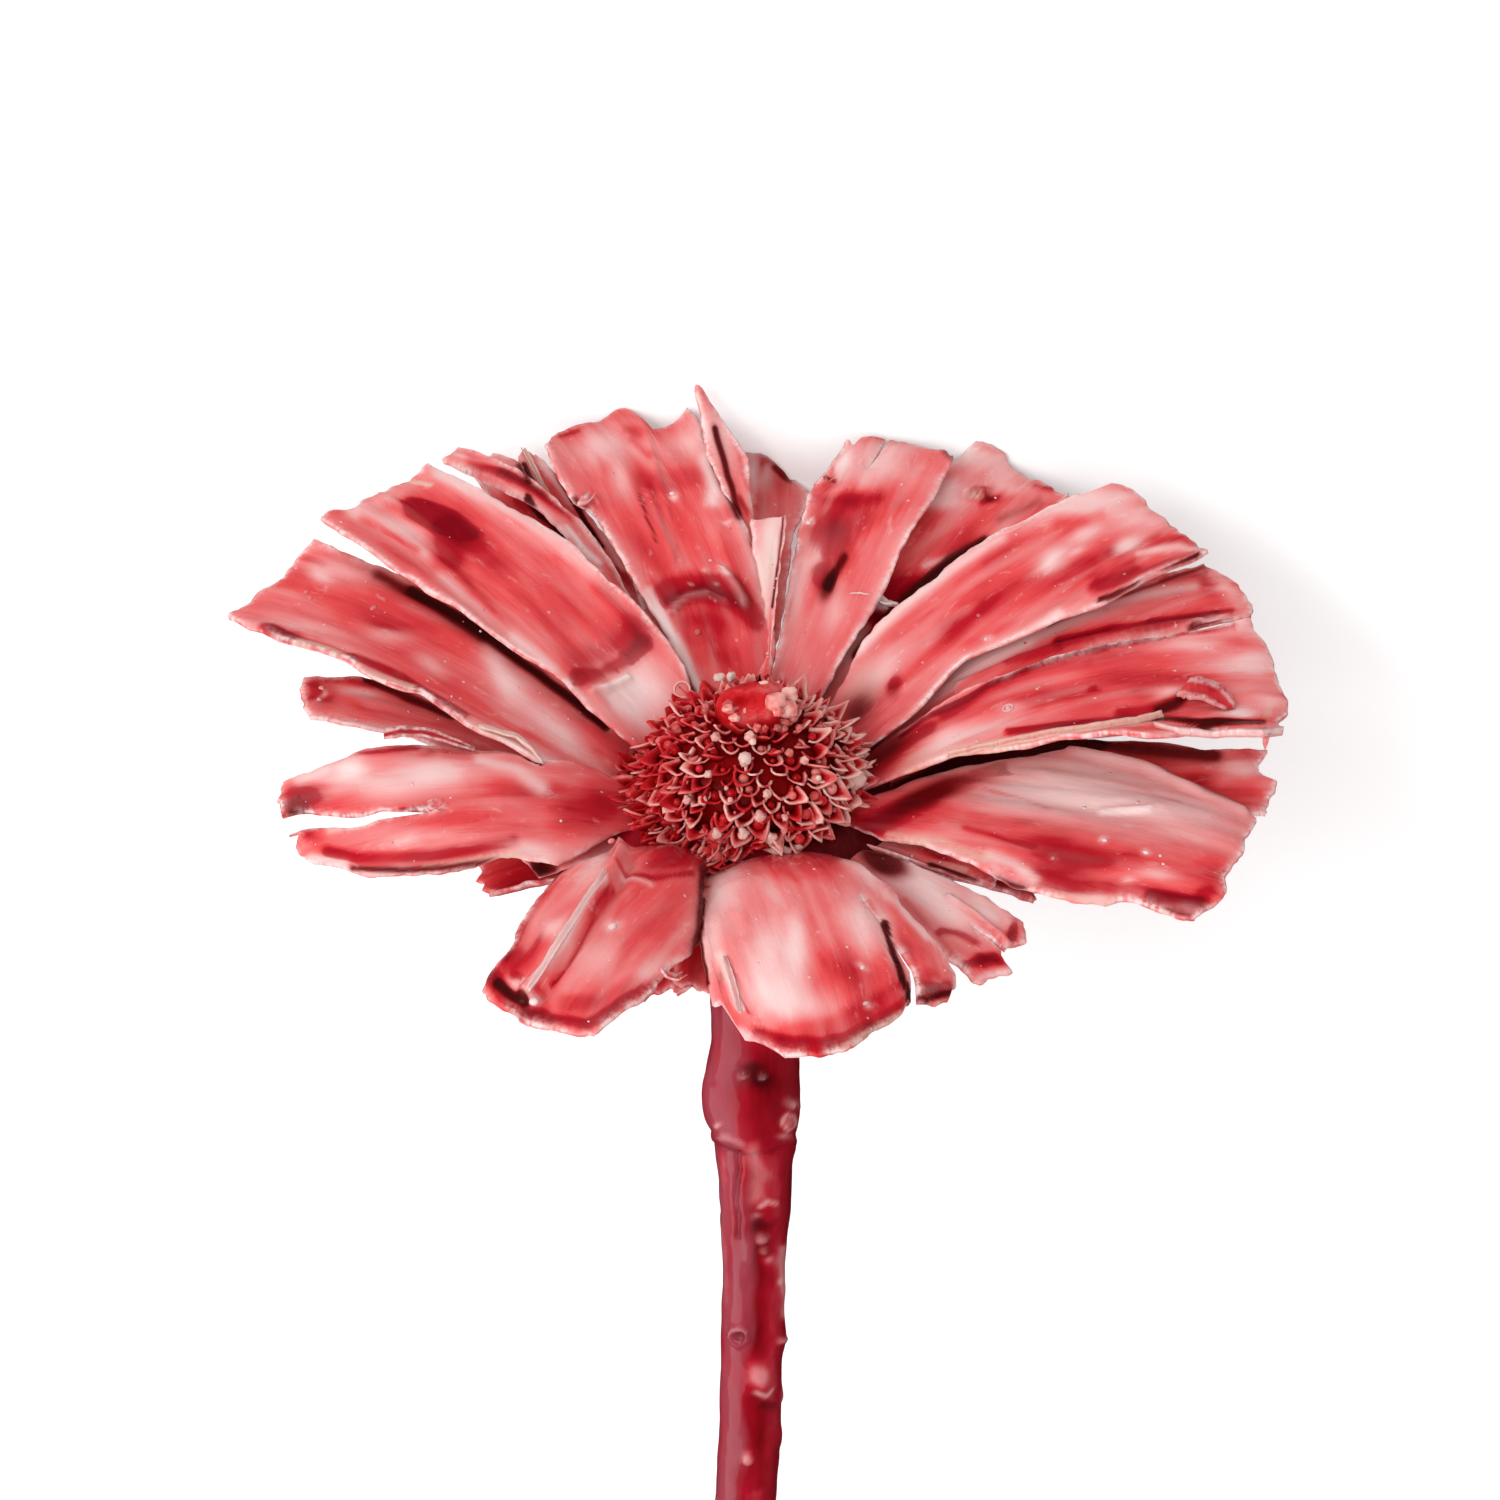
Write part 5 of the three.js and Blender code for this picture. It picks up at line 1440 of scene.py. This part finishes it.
# The point of the head's dome under a pixel of the photograph, and the way it faces.
def onDome(x, y, above):
    way = rayThrough(x, y)
    a, b = headLook["radius"] + above, headLook["height"] + above
    start = eye - headCentre
    start = Vector((start.x / a, start.y / a, start.z / b))
    step = Vector((way.x / a, way.y / a, way.z / b))
    inside = start.dot(step) ** 2 - step.length_squared * (start.length_squared - 1)
    point = eye + way * ((-start.dot(step) - math.sqrt(max(0.0, inside))) / step.length_squared)
    out = point - headCentre
    return point, Vector((out.x / a / a, out.y / a / a, out.z / b / b)).normalized()


# Lumps of wax on the head, in the photograph's pixels: x, y, half width, half height, how far out it
# sits in millimetres, then how pink and how grey-white it is. The pale pink lumps on the right of and
# above the big bead, the first one, stand in for its highlight: a painted highlight.
headLumps = [
    (757, 700, 41, 27, 1.2, 0.40, 0.0), (776, 699, 10, 9, 3.0, 0.75, 0.0), (788, 694, 11, 8, 2.4, 0.9, 0.1),
    (789, 707, 10, 8, 2.2, 0.85, 0.05), (778, 711, 8, 6, 2.6, 0.7, 0.0), (728, 708, 9, 6, 2.6, 0.8, 0.0),
    (764, 682, 7, 2.5, 3.4, 0.95, 0.2), (719, 676, 8, 7, 0.2, 0.9, 0.9), (731, 675, 6, 7, 0.4, 0.9, 0.9),
    (734, 717, 8, 5, 2.0, 0.8, 0.0), (745, 758, 9, 9, 1.0, 0.8, 1.0), (715, 736, 7, 6, 0.4, 0.5, 0.6),
    (708, 774, 6, 5, 0.6, 0.5, 0.8), (686, 800, 6, 6, 0.8, 0.7, 0.5), (702, 801, 7, 7, 0.8, 0.8, 0.3),
    (760, 817, 9, 8, 0.6, 0.6, 0.7), (716, 835, 7, 7, 1.0, 0.7, 0.8), (743, 835, 8, 8, 1.0, 0.7, 0.9),
    (772, 840, 9, 9, 0.8, 0.6, 0.9), (767, 794, 6, 6, 0.6, 0.6, 0.7), (785, 818, 5, 5, 0.6, 0.5, 0.6),
    (819, 778, 4, 4, 1.8, 0.9, 1.0), (858, 780, 12, 8, 0.4, 0.8, 0.9), (750, 736, 9, 7, 1.0, 0.85, 0.3),
    (757, 727, 6, 6, 1.4, 0.6, 0.1), (765, 728, 5, 5, 1.4, 0.4, 0.1), (778, 727, 6, 5, 1.4, 0.3, 0.25),
    (786, 722, 6, 5, 1.5, 0.3, 0.2), (794, 718, 6, 5, 1.5, 0.25, 0.3), (800, 727, 6, 4, 1.2, 0.4, 0.2),
    (785, 728, 5, 4, 1.4, 0.3, 0.3), (753, 741, 5, 5, 1.8, 0.9, 0.5), (790, 752, 6, 6, 1.0, 0.5, 0.3),
    (805, 760, 6, 5, 1.0, 0.8, 0.3), (730, 800, 4, 4, 1.0, 0.7, 0.6), (726, 788, 3, 3, 1.0, 0.7, 0.5),
    (705, 708, 6, 8, 0.8, 0.4, 0.2), (798, 848, 8, 4, 0.6, 0.6, 0.7), (782, 852, 10, 5, 0.8, 0.6, 0.8),
]


def makeHead():
    rng = random.Random(5)
    bm = bmesh.new()
    rim, pale, dark = floatLayers(bm, ("rim", "pale", "dark")).values()
    radius, height, base = headLook["radius"], headLook["height"], headLook["base"]
    bubbles = ballShape(9, 6)

    def makeScale(small):
        side, cupU, cupW = floatLayers(small, ("side", "cupU", "cupW")).values()
        bmesh.ops.create_grid(small, x_segments=8, y_segments=3, size=1)
        for v in small.verts:
            v[cupU], v[cupW] = v.co.x, (v.co.y + 1) / 2
        for v in vertsOf(bmesh.ops.extrude_face_region(small, geom=small.faces[:], use_keep_orig=True)["geom"]):
            v[side] = 1.0

    scaleShape = shapeOf(makeScale)
    # the dome that the scales stand on, nearly flat underneath
    bmesh.ops.create_uvsphere(bm, u_segments=64, v_segments=32, radius=1)
    core = radius - headLook["deep"]
    for v in bm.verts:
        rough = 1 + 0.025 * ripple(v.co.x * 6, v.co.y * 6, v.co.z * 6)
        low = v.co.z if v.co.z > 0 else v.co.z * 0.06
        under = 1 - 0.12 * smooth(1 - v.co.z * 2.5)
        v.co = headCentre + Vector((v.co.x * under, v.co.y * under, low)) * rough * core
        v.co.z = base + (v.co.z - base) * (height - headLook["deep"]) / core
        v[rim] = 0.1 + 0.12 * ripple(v.co.x * 0.5, v.co.y * 0.5, v.co.z * 0.5)
        # painted shade on the dome between the scales
        v[dark] = 0.35
    # one pointed cup scale, open towards the top of the head, set in spirals all over the dome, and
    # more of them crowding at the foot of the dome on the left
    for n in range(headLook["count"] + headLook["crowd"]):
        share = min(1.0, (n + 0.5) / headLook["count"])
        lean = math.acos(1 - share * (1 - math.cos(math.radians(94))))
        around = n * math.radians(137.508) + rng.uniform(-0.12, 0.12)
        reach = core
        if n >= headLook["count"]:
            around = math.radians(rng.uniform(*headLook["crowdAt"]))
            reach += rng.uniform(0.5, 2.2)
        out = Vector((math.sin(lean) * math.cos(around), math.sin(lean) * math.sin(around), math.cos(lean)))
        foot = headCentre + Vector((out.x * reach, out.y * reach, out.z * (height - headLook["deep"])))
        up = Vector((out.x / radius, out.y / radius, out.z / height)).normalized()
        flat = Vector((math.cos(around), math.sin(around), 0))
        down = (flat - up * up.dot(flat)).normalized()
        if n >= headLook["count"]:
            up, down = (up + Vector((0, 0, 1))).normalized(), (flat - Vector((0, 0, 0.6))).normalized()
            foot.z -= 0.45 * (reach - radius)
        down = Matrix.Rotation(rng.uniform(-0.5, 0.5), 3, up) @ down
        across = up.cross(down)
        size = headLook["cell"] * rng.uniform(0.7, 1.35) * (0.75 + 0.3 * share)
        tall = headLook["tall"] * rng.uniform(0.55, 1.25)
        splay = rng.uniform(0.15, 0.5)
        peak = rng.uniform(-0.45, 0.45)
        spike = rng.uniform(0.5, 1.25) * (1 + 0.4 * max(0.0, out.x))
        pink = rng.uniform(0.36, 0.98) + 0.28 * out.x
        outward = rng.uniform(0.1, 0.7)
        sheet = setDown(bm, scaleShape)
        side, cupU, cupW = [bm.verts.layers.float[n] for n in ("side", "cupU", "cupW")]
        rim, pale, dark = [bm.verts.layers.float[n] for n in ("rim", "pale", "dark")]
        for v in sheet:
            u, w = v[cupU], v[cupW]
            turn = u * math.radians(105)
            point = max(0.0, 1 - abs(u - peak) * 1.7) ** 1.2
            top = w * (0.6 + spike * point - 0.12 * u * u) * tall
            wide = size * (0.9 + splay * w)
            v.co = (foot + up * top + down * (wide * math.cos(turn) + outward * point * w * w)
                    + across * wide * math.sin(turn) * (1 - 0.25 * point * w))
            mottled = 0.8 + 0.8 * ripple(u * 1.5, n * 3.1, w)
            v[rim] = 0.14 + 0.12 * w + (pink - 0.16) * smooth((w - 0.35) * 1.8) * mottled
            # painted shade towards the foot of each scale
            v[dark] = 0.35 * (1 - w)
            if v[side] > 0.5:
                inward = foot + up * up.dot(v.co - foot) - v.co
                v.co += inward.normalized() * headLook["thick"]
        # many cups hold a bubble of wax
        if rng.random() < headLook["bubbles"] + 0.25 * out.x:
            r = size * rng.uniform(0.4, 0.62)
            high = tall * rng.uniform(0.1, 0.5)
            shine = rng.choice((0.22, 0.3, 0.42, 0.6)) + 0.12 * out.x
            for v in setDown(bm, bubbles):
                v.co = foot + up * (high + v.co.z * r) + across * v.co.x * r + down * (v.co.y * r + size * 0.25)
                v[rim] = shine
    for x, y, rx, ry, above, pink, grey in headLumps:
        spot, facing = onDome(x, y, above)
        big, flat = rx >= 20, 0.6 if 10 < rx < 20 else 1
        size = Vector((rx, ry * 1.1, min(rx, ry) * flat)) / pixelsPerMm * (0.7 if rx < 10 else 1)
        turn = towards.lerp(facing, 0.5).to_track_quat("Z", "Y").to_matrix().to_4x4()
        for v in setDown(bm, ballShape(32, 20) if big else ballShape(16, 10)):
            lump = 1 + (0.12 if big else 0.45) * ripple(v.co.x * 1.6 + x, v.co.y * 1.6 + y, v.co.z * 1.6)
            local = Vector((v.co.x * size.x, v.co.y * size.y, v.co.z * size.z)) * lump
            v[rim] = pink + 0.3 * ripple(v.co.x * 1.3 + x, v.co.y * 1.3, v.co.z)
            v[pale] = grey * 0.75
            v.co = spot + (turn @ local) - facing * size.z * 0.4
    for name in ("side", "cupU", "cupW"):
        bm.verts.layers.float.remove(bm.verts.layers.float[name])
    return placed(bm, "waxed_seed_head_scales", waxOnHead(), ["seed_head"])


makeHead()
print("seed head made")

# The stem's rings as in the frame: height, how far its middle stands to the right, radius.
stemRings = [
    (-262, -2.6, 3.1), (-225, -2.4, 3.0), (-185, -1.5, 3.2), (-150, -1.2, 3.0), (-118, -0.4, 3.2),
    (-95, 0.3, 3.1), (-80, 0.8, 3.15), (-62, 1.1, 3.1), (-50, 1.3, 3.6), (-43, 1.2, 4.0), (-40, 1.1, 4.6),
    (-36, 1.0, 4.7), (-31, 1.2, 4.3), (-24, 1.2, 4.3), (-20, 0.9, 4.6), (-16, 0.5, 5.0), (-12, 0.2, 6.1),
    (-8, 0, 7.4), (-4.8, 0, 8.7), (-2.6, 0, 9.7), (0.6, 0, 10.2),
]
# seenTo: how far down the photograph shows it; step: millimetres from row to row there, and farStep
# below; pooled: the section of the ring of wax at its top, as (reach, height).
stemLook = {
    "sides": 88, "step": 0.3, "farStep": 0.9, "seenTo": -88, "wave": 0.14, "bumps": 110, "cutEdge": 0.5,
    "ramp": [(0.0, (0.56, 0.17, 0.18)), (0.3, (0.43, 0.030, 0.045)), (0.5, (0.33, 0.005, 0.016)),
             (0.75, (0.20, 0.002, 0.006)), (1.0, (0.06, 0.001, 0.003))],
    "haze": (0.29, 0.045, 0.065), "bloom": (0.74, 0.42, 0.41), "gloss": 0.5, "relief": 0.0004,
    "pooled": [(8.5, 0.2), (10.6, -0.2), (12.5, -0.9), (14.2, -1.7), (15.2, -2.6), (14.0, -3.2), (11.5, -3.0),
               (8.5, -2.6)],
}
stemMarks = {
    "red": [(0.3, 755, 1082, 22, 8),
        (0.24, 13, (762, 1060), (760, 1140), (756, 1200), (757, 1300), (757, 1400), (760, 1500))],
    "pale": [(0.5, 787, 1121, 8, 7), (0.4, 10, (755, 1150), (764, 1176), (760, 1196)),
        (0.35, 7, (724, 1160), (722, 1230), (724, 1300)), (0.6, 767, 1260, 8, 6), (0.7, 6, (783, 1250), (784, 1316)),
        (0.7, 758, 1374, 10, 13), (0.7, 748, 1458, 7, 8),
        (0.16, 7, (776, 1160), (778, 1220), (774, 1300), (772, 1400), (770, 1500))],
    # white: mostly painted highlights and glints on the wax, with a few pale specks
    "white": [(0.5, 744, 1077, 3, 3), (0.5, 763, 1078, 3, 3), (0.9, 720, 1124, 3, 3), (1.0, 791, 1104, 6, 4, 20),
        (0.8, 1.8, (780, 1122), (785, 1114), (793, 1117), (794, 1125), (787, 1130), (780, 1122)),
        (0.6, 784, 1135, 5, 2.5), (0.4, 3, (722, 1136), (742, 1143)), (0.35, 7, (752, 1150), (757, 1178), (755, 1196)),
        (0.75, 2.2, (759, 1206), (766, 1200), (776, 1203)), (0.4, 756, 1217, 5, 4), (0.6, 762, 1239, 5, 3.5),
        (0.35, 763, 1250, 4, 3), (1.0, 780, 1281, 2.4, 3.4), (0.4, 2, (730, 1332), (738, 1326), (747, 1332)),
        (0.7, 779, 1339, 3.5, 3), (0.9, 3, (756, 1391), (764, 1395), (770, 1388)), (0.6, 746, 1455, 4, 4),
        (0.4, 724, 1492, 7, 6)],
    # dark: painted shade under bumps, along the ledge and in the scar
    "dark": [(0.75, 752, 1070, 13, 8), (0.35, 775, 1112, 6, 16), (0.3, 3, (714, 1146), (730, 1147), (744, 1153)),
        (0.7, 762, 1226, 12, 6), (0.6, 768, 1406, 11, 6)],
    "ridge": [(0.3, 5, (706, 1134), (726, 1141), (744, 1148), (768, 1148), (790, 1140)),
        (0.2, 6, (748, 1150), (746, 1200), (750, 1260)),
        (0.35, 3.5, (730, 1336), (736, 1326), (746, 1330), (748, 1340), (738, 1346), (730, 1336))],
    "lump": [(0.55, 708, 1104, 12, 34), (-0.4, 752, 1071, 14, 8), (0.45, 790, 1106, 9, 8), (0.5, 787, 1123, 9, 8),
        (0.45, 799, 1146, 10, 14), (0.5, 770, 1210, 13, 11), (-0.3, 762, 1227, 12, 7), (0.3, 781, 1290, 9, 26),
        (0.45, 780, 1336, 10, 20), (0.6, 760, 1380, 13, 15), (-0.25, 768, 1407, 11, 6), (0.4, 784, 1436, 8, 12),
        (0.3, 724, 1492, 8, 7)],
    "gouge": [(0.3, 2.6, (739, 1150), (737, 1190), (738, 1238)), (0.55, 739, 1336, 6, 6)],
    "bead": [(0.55, 744, 1076, 4.5, 4.5), (0.55, 763, 1077, 4.5, 4.5), (0.2, 720, 1124, 4, 4), (0.45, 762, 1240, 6, 5),
        (0.35, 763, 1251, 5, 4), (0.3, 779, 1339, 4, 4), (0.5, 748, 1458, 8, 8)],
}


# Where the stem's middle is at a height, and its radius.
def stemAt(z):
    for (z0, x0, r0), (z1, x1, r1) in zip(stemRings, stemRings[1:]):
        if z <= z1:
            share = smooth((z - z0) / (z1 - z0))
            return x0 + (x1 - x0) * share, r0 + (r1 - r0) * share
    return 0.0, stemRings[-1][2]


def waxOnStem():
    f = Finish("wax on the stem")
    where = f.node("ShaderNodeTexCoord", out="Object")
    coat, bloom, haze, dark = [f.stored(n) for n in ("coat", "bloom", "haze", "dark")]
    clouds = f.cloud(where, 0.005, (1, 0.45, 1), 3, 0.55, 0.3)
    streaks = f.cloud(where, 0.0012, (1, 0.08, 1), 2, 0.5)
    grain = f.cloud(where, 0.0005, (1, 0.5, 1), 3, 0.6)
    amount = coat + (clouds - 0.5) * 0.4 + (streaks - 0.5) * 0.3 + (grain - 0.5) * 0.08
    colour = f.ramp(amount, stemLook["ramp"])
    # painted sheen on the left side, then whitened wax mixed with painted highlights, then painted shade in hollows
    # and under bumps
    colour = f.blend(f.share(haze, clouds * 0.7 + streaks * 0.5 + 0.2), colour, stemLook["haze"])
    colour = f.blend(f.share(bloom, grain * 0.6 + 0.55), colour, stemLook["bloom"])
    colour = f.blend(f.share(dark, grain * 0.6 + 0.6), colour, waxLook["shadowDark"])
    height = clouds * 0.6 + streaks * 0.25 + grain * 0.12
    return f.finish({
        "Base Color": colour, "Roughness": 0.3 + bloom * 0.1 + (grain - 0.5) * 0.12,
        "Normal": f.bump(height, 0.8, stemLook["relief"]), "IOR": 1.45, "Specular IOR Level": 0.07,
        "Coat Weight": f.share(1 - dark, stemLook["gloss"]), "Coat Roughness": 0.07,
        "Subsurface Weight": 0.15, "Subsurface Radius": (1.0, 0.25, 0.2), "Subsurface Scale": 0.0012,
    })


def makeStem():
    rng = random.Random(12)
    bm = bmesh.new()
    coat, bloom, haze, dark = floatLayers(bm, ("coat", "bloom", "haze", "dark")).values()
    shown = readied(listed(stemMarks))
    heights = [stemRings[0][0]]
    while heights[-1] < stemRings[-1][0]:
        heights.append(heights[-1] + (stemLook["farStep"] if heights[-1] < stemLook["seenTo"] else stemLook["step"]))
    # bumps and scars where the photograph doesn't show the stem: height, azimuth, size, how high
    hidden = [
        (rng.uniform(-258, -20), rng.uniform(-math.pi, math.pi), rng.uniform(0.5, 1.6), rng.uniform(-0.35, 0.55))
        for _ in range(stemLook["bumps"])
    ]
    bmesh.ops.create_grid(bm, x_segments=stemLook["sides"], y_segments=len(heights) - 1, size=1)
    for v in bm.verts:
        a = math.pi * (v.co.x - 0.5)
        z = heights[round((v.co.y + 1) / 2 * (len(heights) - 1))]
        x, r = stemAt(z)
        c, d = math.cos(a), math.sin(a)
        swell = stemLook["wave"] * (ripple(c * 1.2, d * 1.2, z / 7) + 0.5 * ripple(c * 2.5, d * 2.5, z / 2.5))
        place = Vector((x + r * c, r * d, z))
        made = {"coat": 0.0, "lift": 0.0, "bloom": 0.0, "dark": 0.0}
        facing = Vector((c, d, 0)).dot(towards)
        if facing > 0.0 and z > stemLook["seenTo"]:
            px, py = pixelOf(place)
            made = marksAt(shown, px + 3 * ripple(z * 0.5, c * 3, d * 3), py + 3 * ripple(z * 0.5, c * 3, d * 3 + 8))
            made = {k: q * smooth(facing * 5) for k, q in made.items()}
        if facing < 0.25 or z <= stemLook["seenTo"]:
            for bz, ba, size, high in hidden:
                if abs(bz - z) < 4:
                    turn = (a - ba + math.pi) % (2 * math.pi) - math.pi
                    share = math.exp(-((z - bz) ** 2 + (turn * r) ** 2) / size ** 2)
                    made["lift"] += high * share
                    # raised bumps are whitened as painted highlight, hollows darkened as painted shade
                    made["bloom"] += 0.6 * share * (high > 0.35)
                    made["dark"] += 0.7 * share * (high < -0.1)
        v.co = Vector((x + (r + swell + made["lift"]) * c, (r + swell + made["lift"]) * d, z))
        hollow = 0.5 * max(0.0, made["lift"] * -1)
        # the 0.1 * smooth(c) term deepens the red on the right side, painted shade opposite the painted sheen on the
        # left
        v[coat] = 0.52 + 0.16 * ripple(c, d, z / 12) + made["coat"] + hollow + 0.1 * smooth(c)
        v[bloom], v[dark] = 0.7 * clamp(made["bloom"]), 0.85 * clamp(made["dark"])
        # painted sheen: the left side is lightened as if it reflected a broad lamp, though not under the bracts
        left = clamp(0.45 + 4 * (-0.14 - c + 0.35 * ripple(z / 6, c, 0.5)))
        v[haze] = left * clamp(0.85 + 0.9 * ripple(z / 5, c * 2, d * 2)) * smooth((-10 - z) / 5)
        # the flare under the bracts is deep red
        v[coat] += 0.25 * smooth((z + 8) / 5)
    bmesh.ops.remove_doubles(bm, verts=bm.verts, dist=1e-5)
    ends = [e for e in bm.edges if e.is_boundary]
    for z in (heights[0], heights[-1]):
        end = bmesh.ops.contextual_create(bm, geom=[e for e in ends if abs(e.verts[0].co.z - z) < 0.2])["faces"]
        if z == heights[0]:
            bmesh.ops.inset_individual(bm, faces=end, thickness=stemLook["cutEdge"])
    # a ring of wax has pooled between the roots of the bracts
    web = bmesh.ops.create_circle(bm, segments=72, radius=1)["verts"]
    ring = [(v, math.atan2(v.co.y, v.co.x)) for v in web]
    bounds = [e for e in bm.edges if e.verts[0] in web and e.verts[1] in web]
    first = bounds
    for k, (reach, z) in enumerate(stemLook["pooled"]):
        if k:
            grown = bmesh.ops.extrude_edge_only(bm, edges=bounds)["geom"]
            held = set(vertsOf(grown))
            bounds = [e for e in grown if isinstance(e, bmesh.types.BMEdge) and all(v in held for v in e.verts)]
            ring = [(v, math.atan2(v.co.y, v.co.x)) for v in vertsOf(grown)]
        for v, a in ring:
            out = reach * (1 + 0.09 * ripple(math.cos(a) * 2.5, math.sin(a) * 2.5, 0.3 if k > 2 else 5.0))
            high = z + 0.25 * ripple(math.cos(a) * 4, math.sin(a) * 4, k)
            v.co = Vector((out * math.cos(a), out * math.sin(a), high))
            # painted shade: the web is darkened all round, most on the side towards azimuth 0
            v[coat], v[dark] = 0.62 + 0.2 * ripple(a * 3, k, 2.0), 0.12 + 0.75 * clamp(math.cos(a) * 1.6)
    bmesh.ops.bridge_loops(bm, edges=first + bounds)
    return placed(bm, "waxed_stalk", waxOnStem(), ["stem"])


makeStem()
print("stem made")

floorLook = {"size": 3, "paper": ((0.90, 0.90, 0.90), (0.92, 0.92, 0.92)), "rough": 0.7, "light": 0.12}
floorBm = bmesh.new()
bmesh.ops.create_grid(floorBm, x_segments=1, y_segments=1, size=floorLook["size"])
floorMesh = bpy.data.meshes.new("floor")
floorBm.to_mesh(floorMesh)
floorBm.free()
floorFinish = Finish("white paper")
floorGrain = floorFinish.cloud(floorFinish.node("ShaderNodeTexCoord", out="Object"), 0.3, detail=1)
floorMesh.materials.append(floorFinish.finish({
    "Base Color": floorFinish.blend(floorGrain, *floorLook["paper"]), "Roughness": floorLook["rough"],
    "Emission Color": (1, 1, 1, 1), "Emission Strength": floorLook["light"],
}))
floor = bpy.data.objects.new("floor", floorMesh)
floor.visible_glossy = False  # the gloss on the wax shows the lamps, not the bright paper
bpy.context.scene.collection.objects.link(floor)


# Where each light stands in metres, its size and its power in watts, all aimed at the middle of the
# rosette; ambient: how bright the white all round is.
lightLook = {"aim": (0, 0.09, 0.04), "ambient": 0.33, "lamps": {
    "ceiling": ((-0.1, 0.2, 1.2), (1.7, 1.6), 16.5),
    "window": ((-0.75, 0.55, 0.65), (0.5, 0.6), 3.7),
    "panel": ((-0.9, -0.6, 0.45), (0.9, 0.9), 3),
    "tube": ((-0.30, 0.62, 0.95), (0.10, 0.45), 1.8),
}}
for name, (where, size, power) in lightLook["lamps"].items():
    light = bpy.data.lights.new(name, "AREA")
    light.shape = "RECTANGLE"
    light.size, light.size_y = size
    light.energy = power
    lamp = bpy.data.objects.new(name, light)
    lamp.location = where
    lamp.rotation_euler = (Vector(lightLook["aim"]) - Vector(where)).to_track_quat("-Z", "Y").to_euler()
    lamp.visible_glossy = name != "ceiling"  # the gloss shows only the smaller ones
    bpy.context.scene.collection.objects.link(lamp)

world = bpy.data.worlds.new("studio")
bpy.context.scene.world = world
world.use_nodes = True
background = world.node_tree.nodes["Background"]
background.inputs["Color"].default_value = (1, 1, 1, 1)
background.inputs["Strength"].default_value = lightLook["ambient"]
world.cycles_visibility.glossy = False
bpy.context.scene.view_settings.view_transform = "Standard"

camera = bpy.data.cameras.new("camera")
camera.lens = view["lens"]
camera.sensor_width = view["sensor"]
camera.clip_end = 20
cameraObject = bpy.data.objects.new("camera", camera)
turned = layDown.to_3x3() * 1000
axes = Matrix((turned @ sideways, turned @ upwards, turned @ towards)).transposed()
cameraObject.matrix_world = Matrix.Translation(layDown @ eye) @ axes.to_4x4()
bpy.context.scene.collection.objects.link(cameraObject)
bpy.context.scene.camera = cameraObject

print("pieces in place")
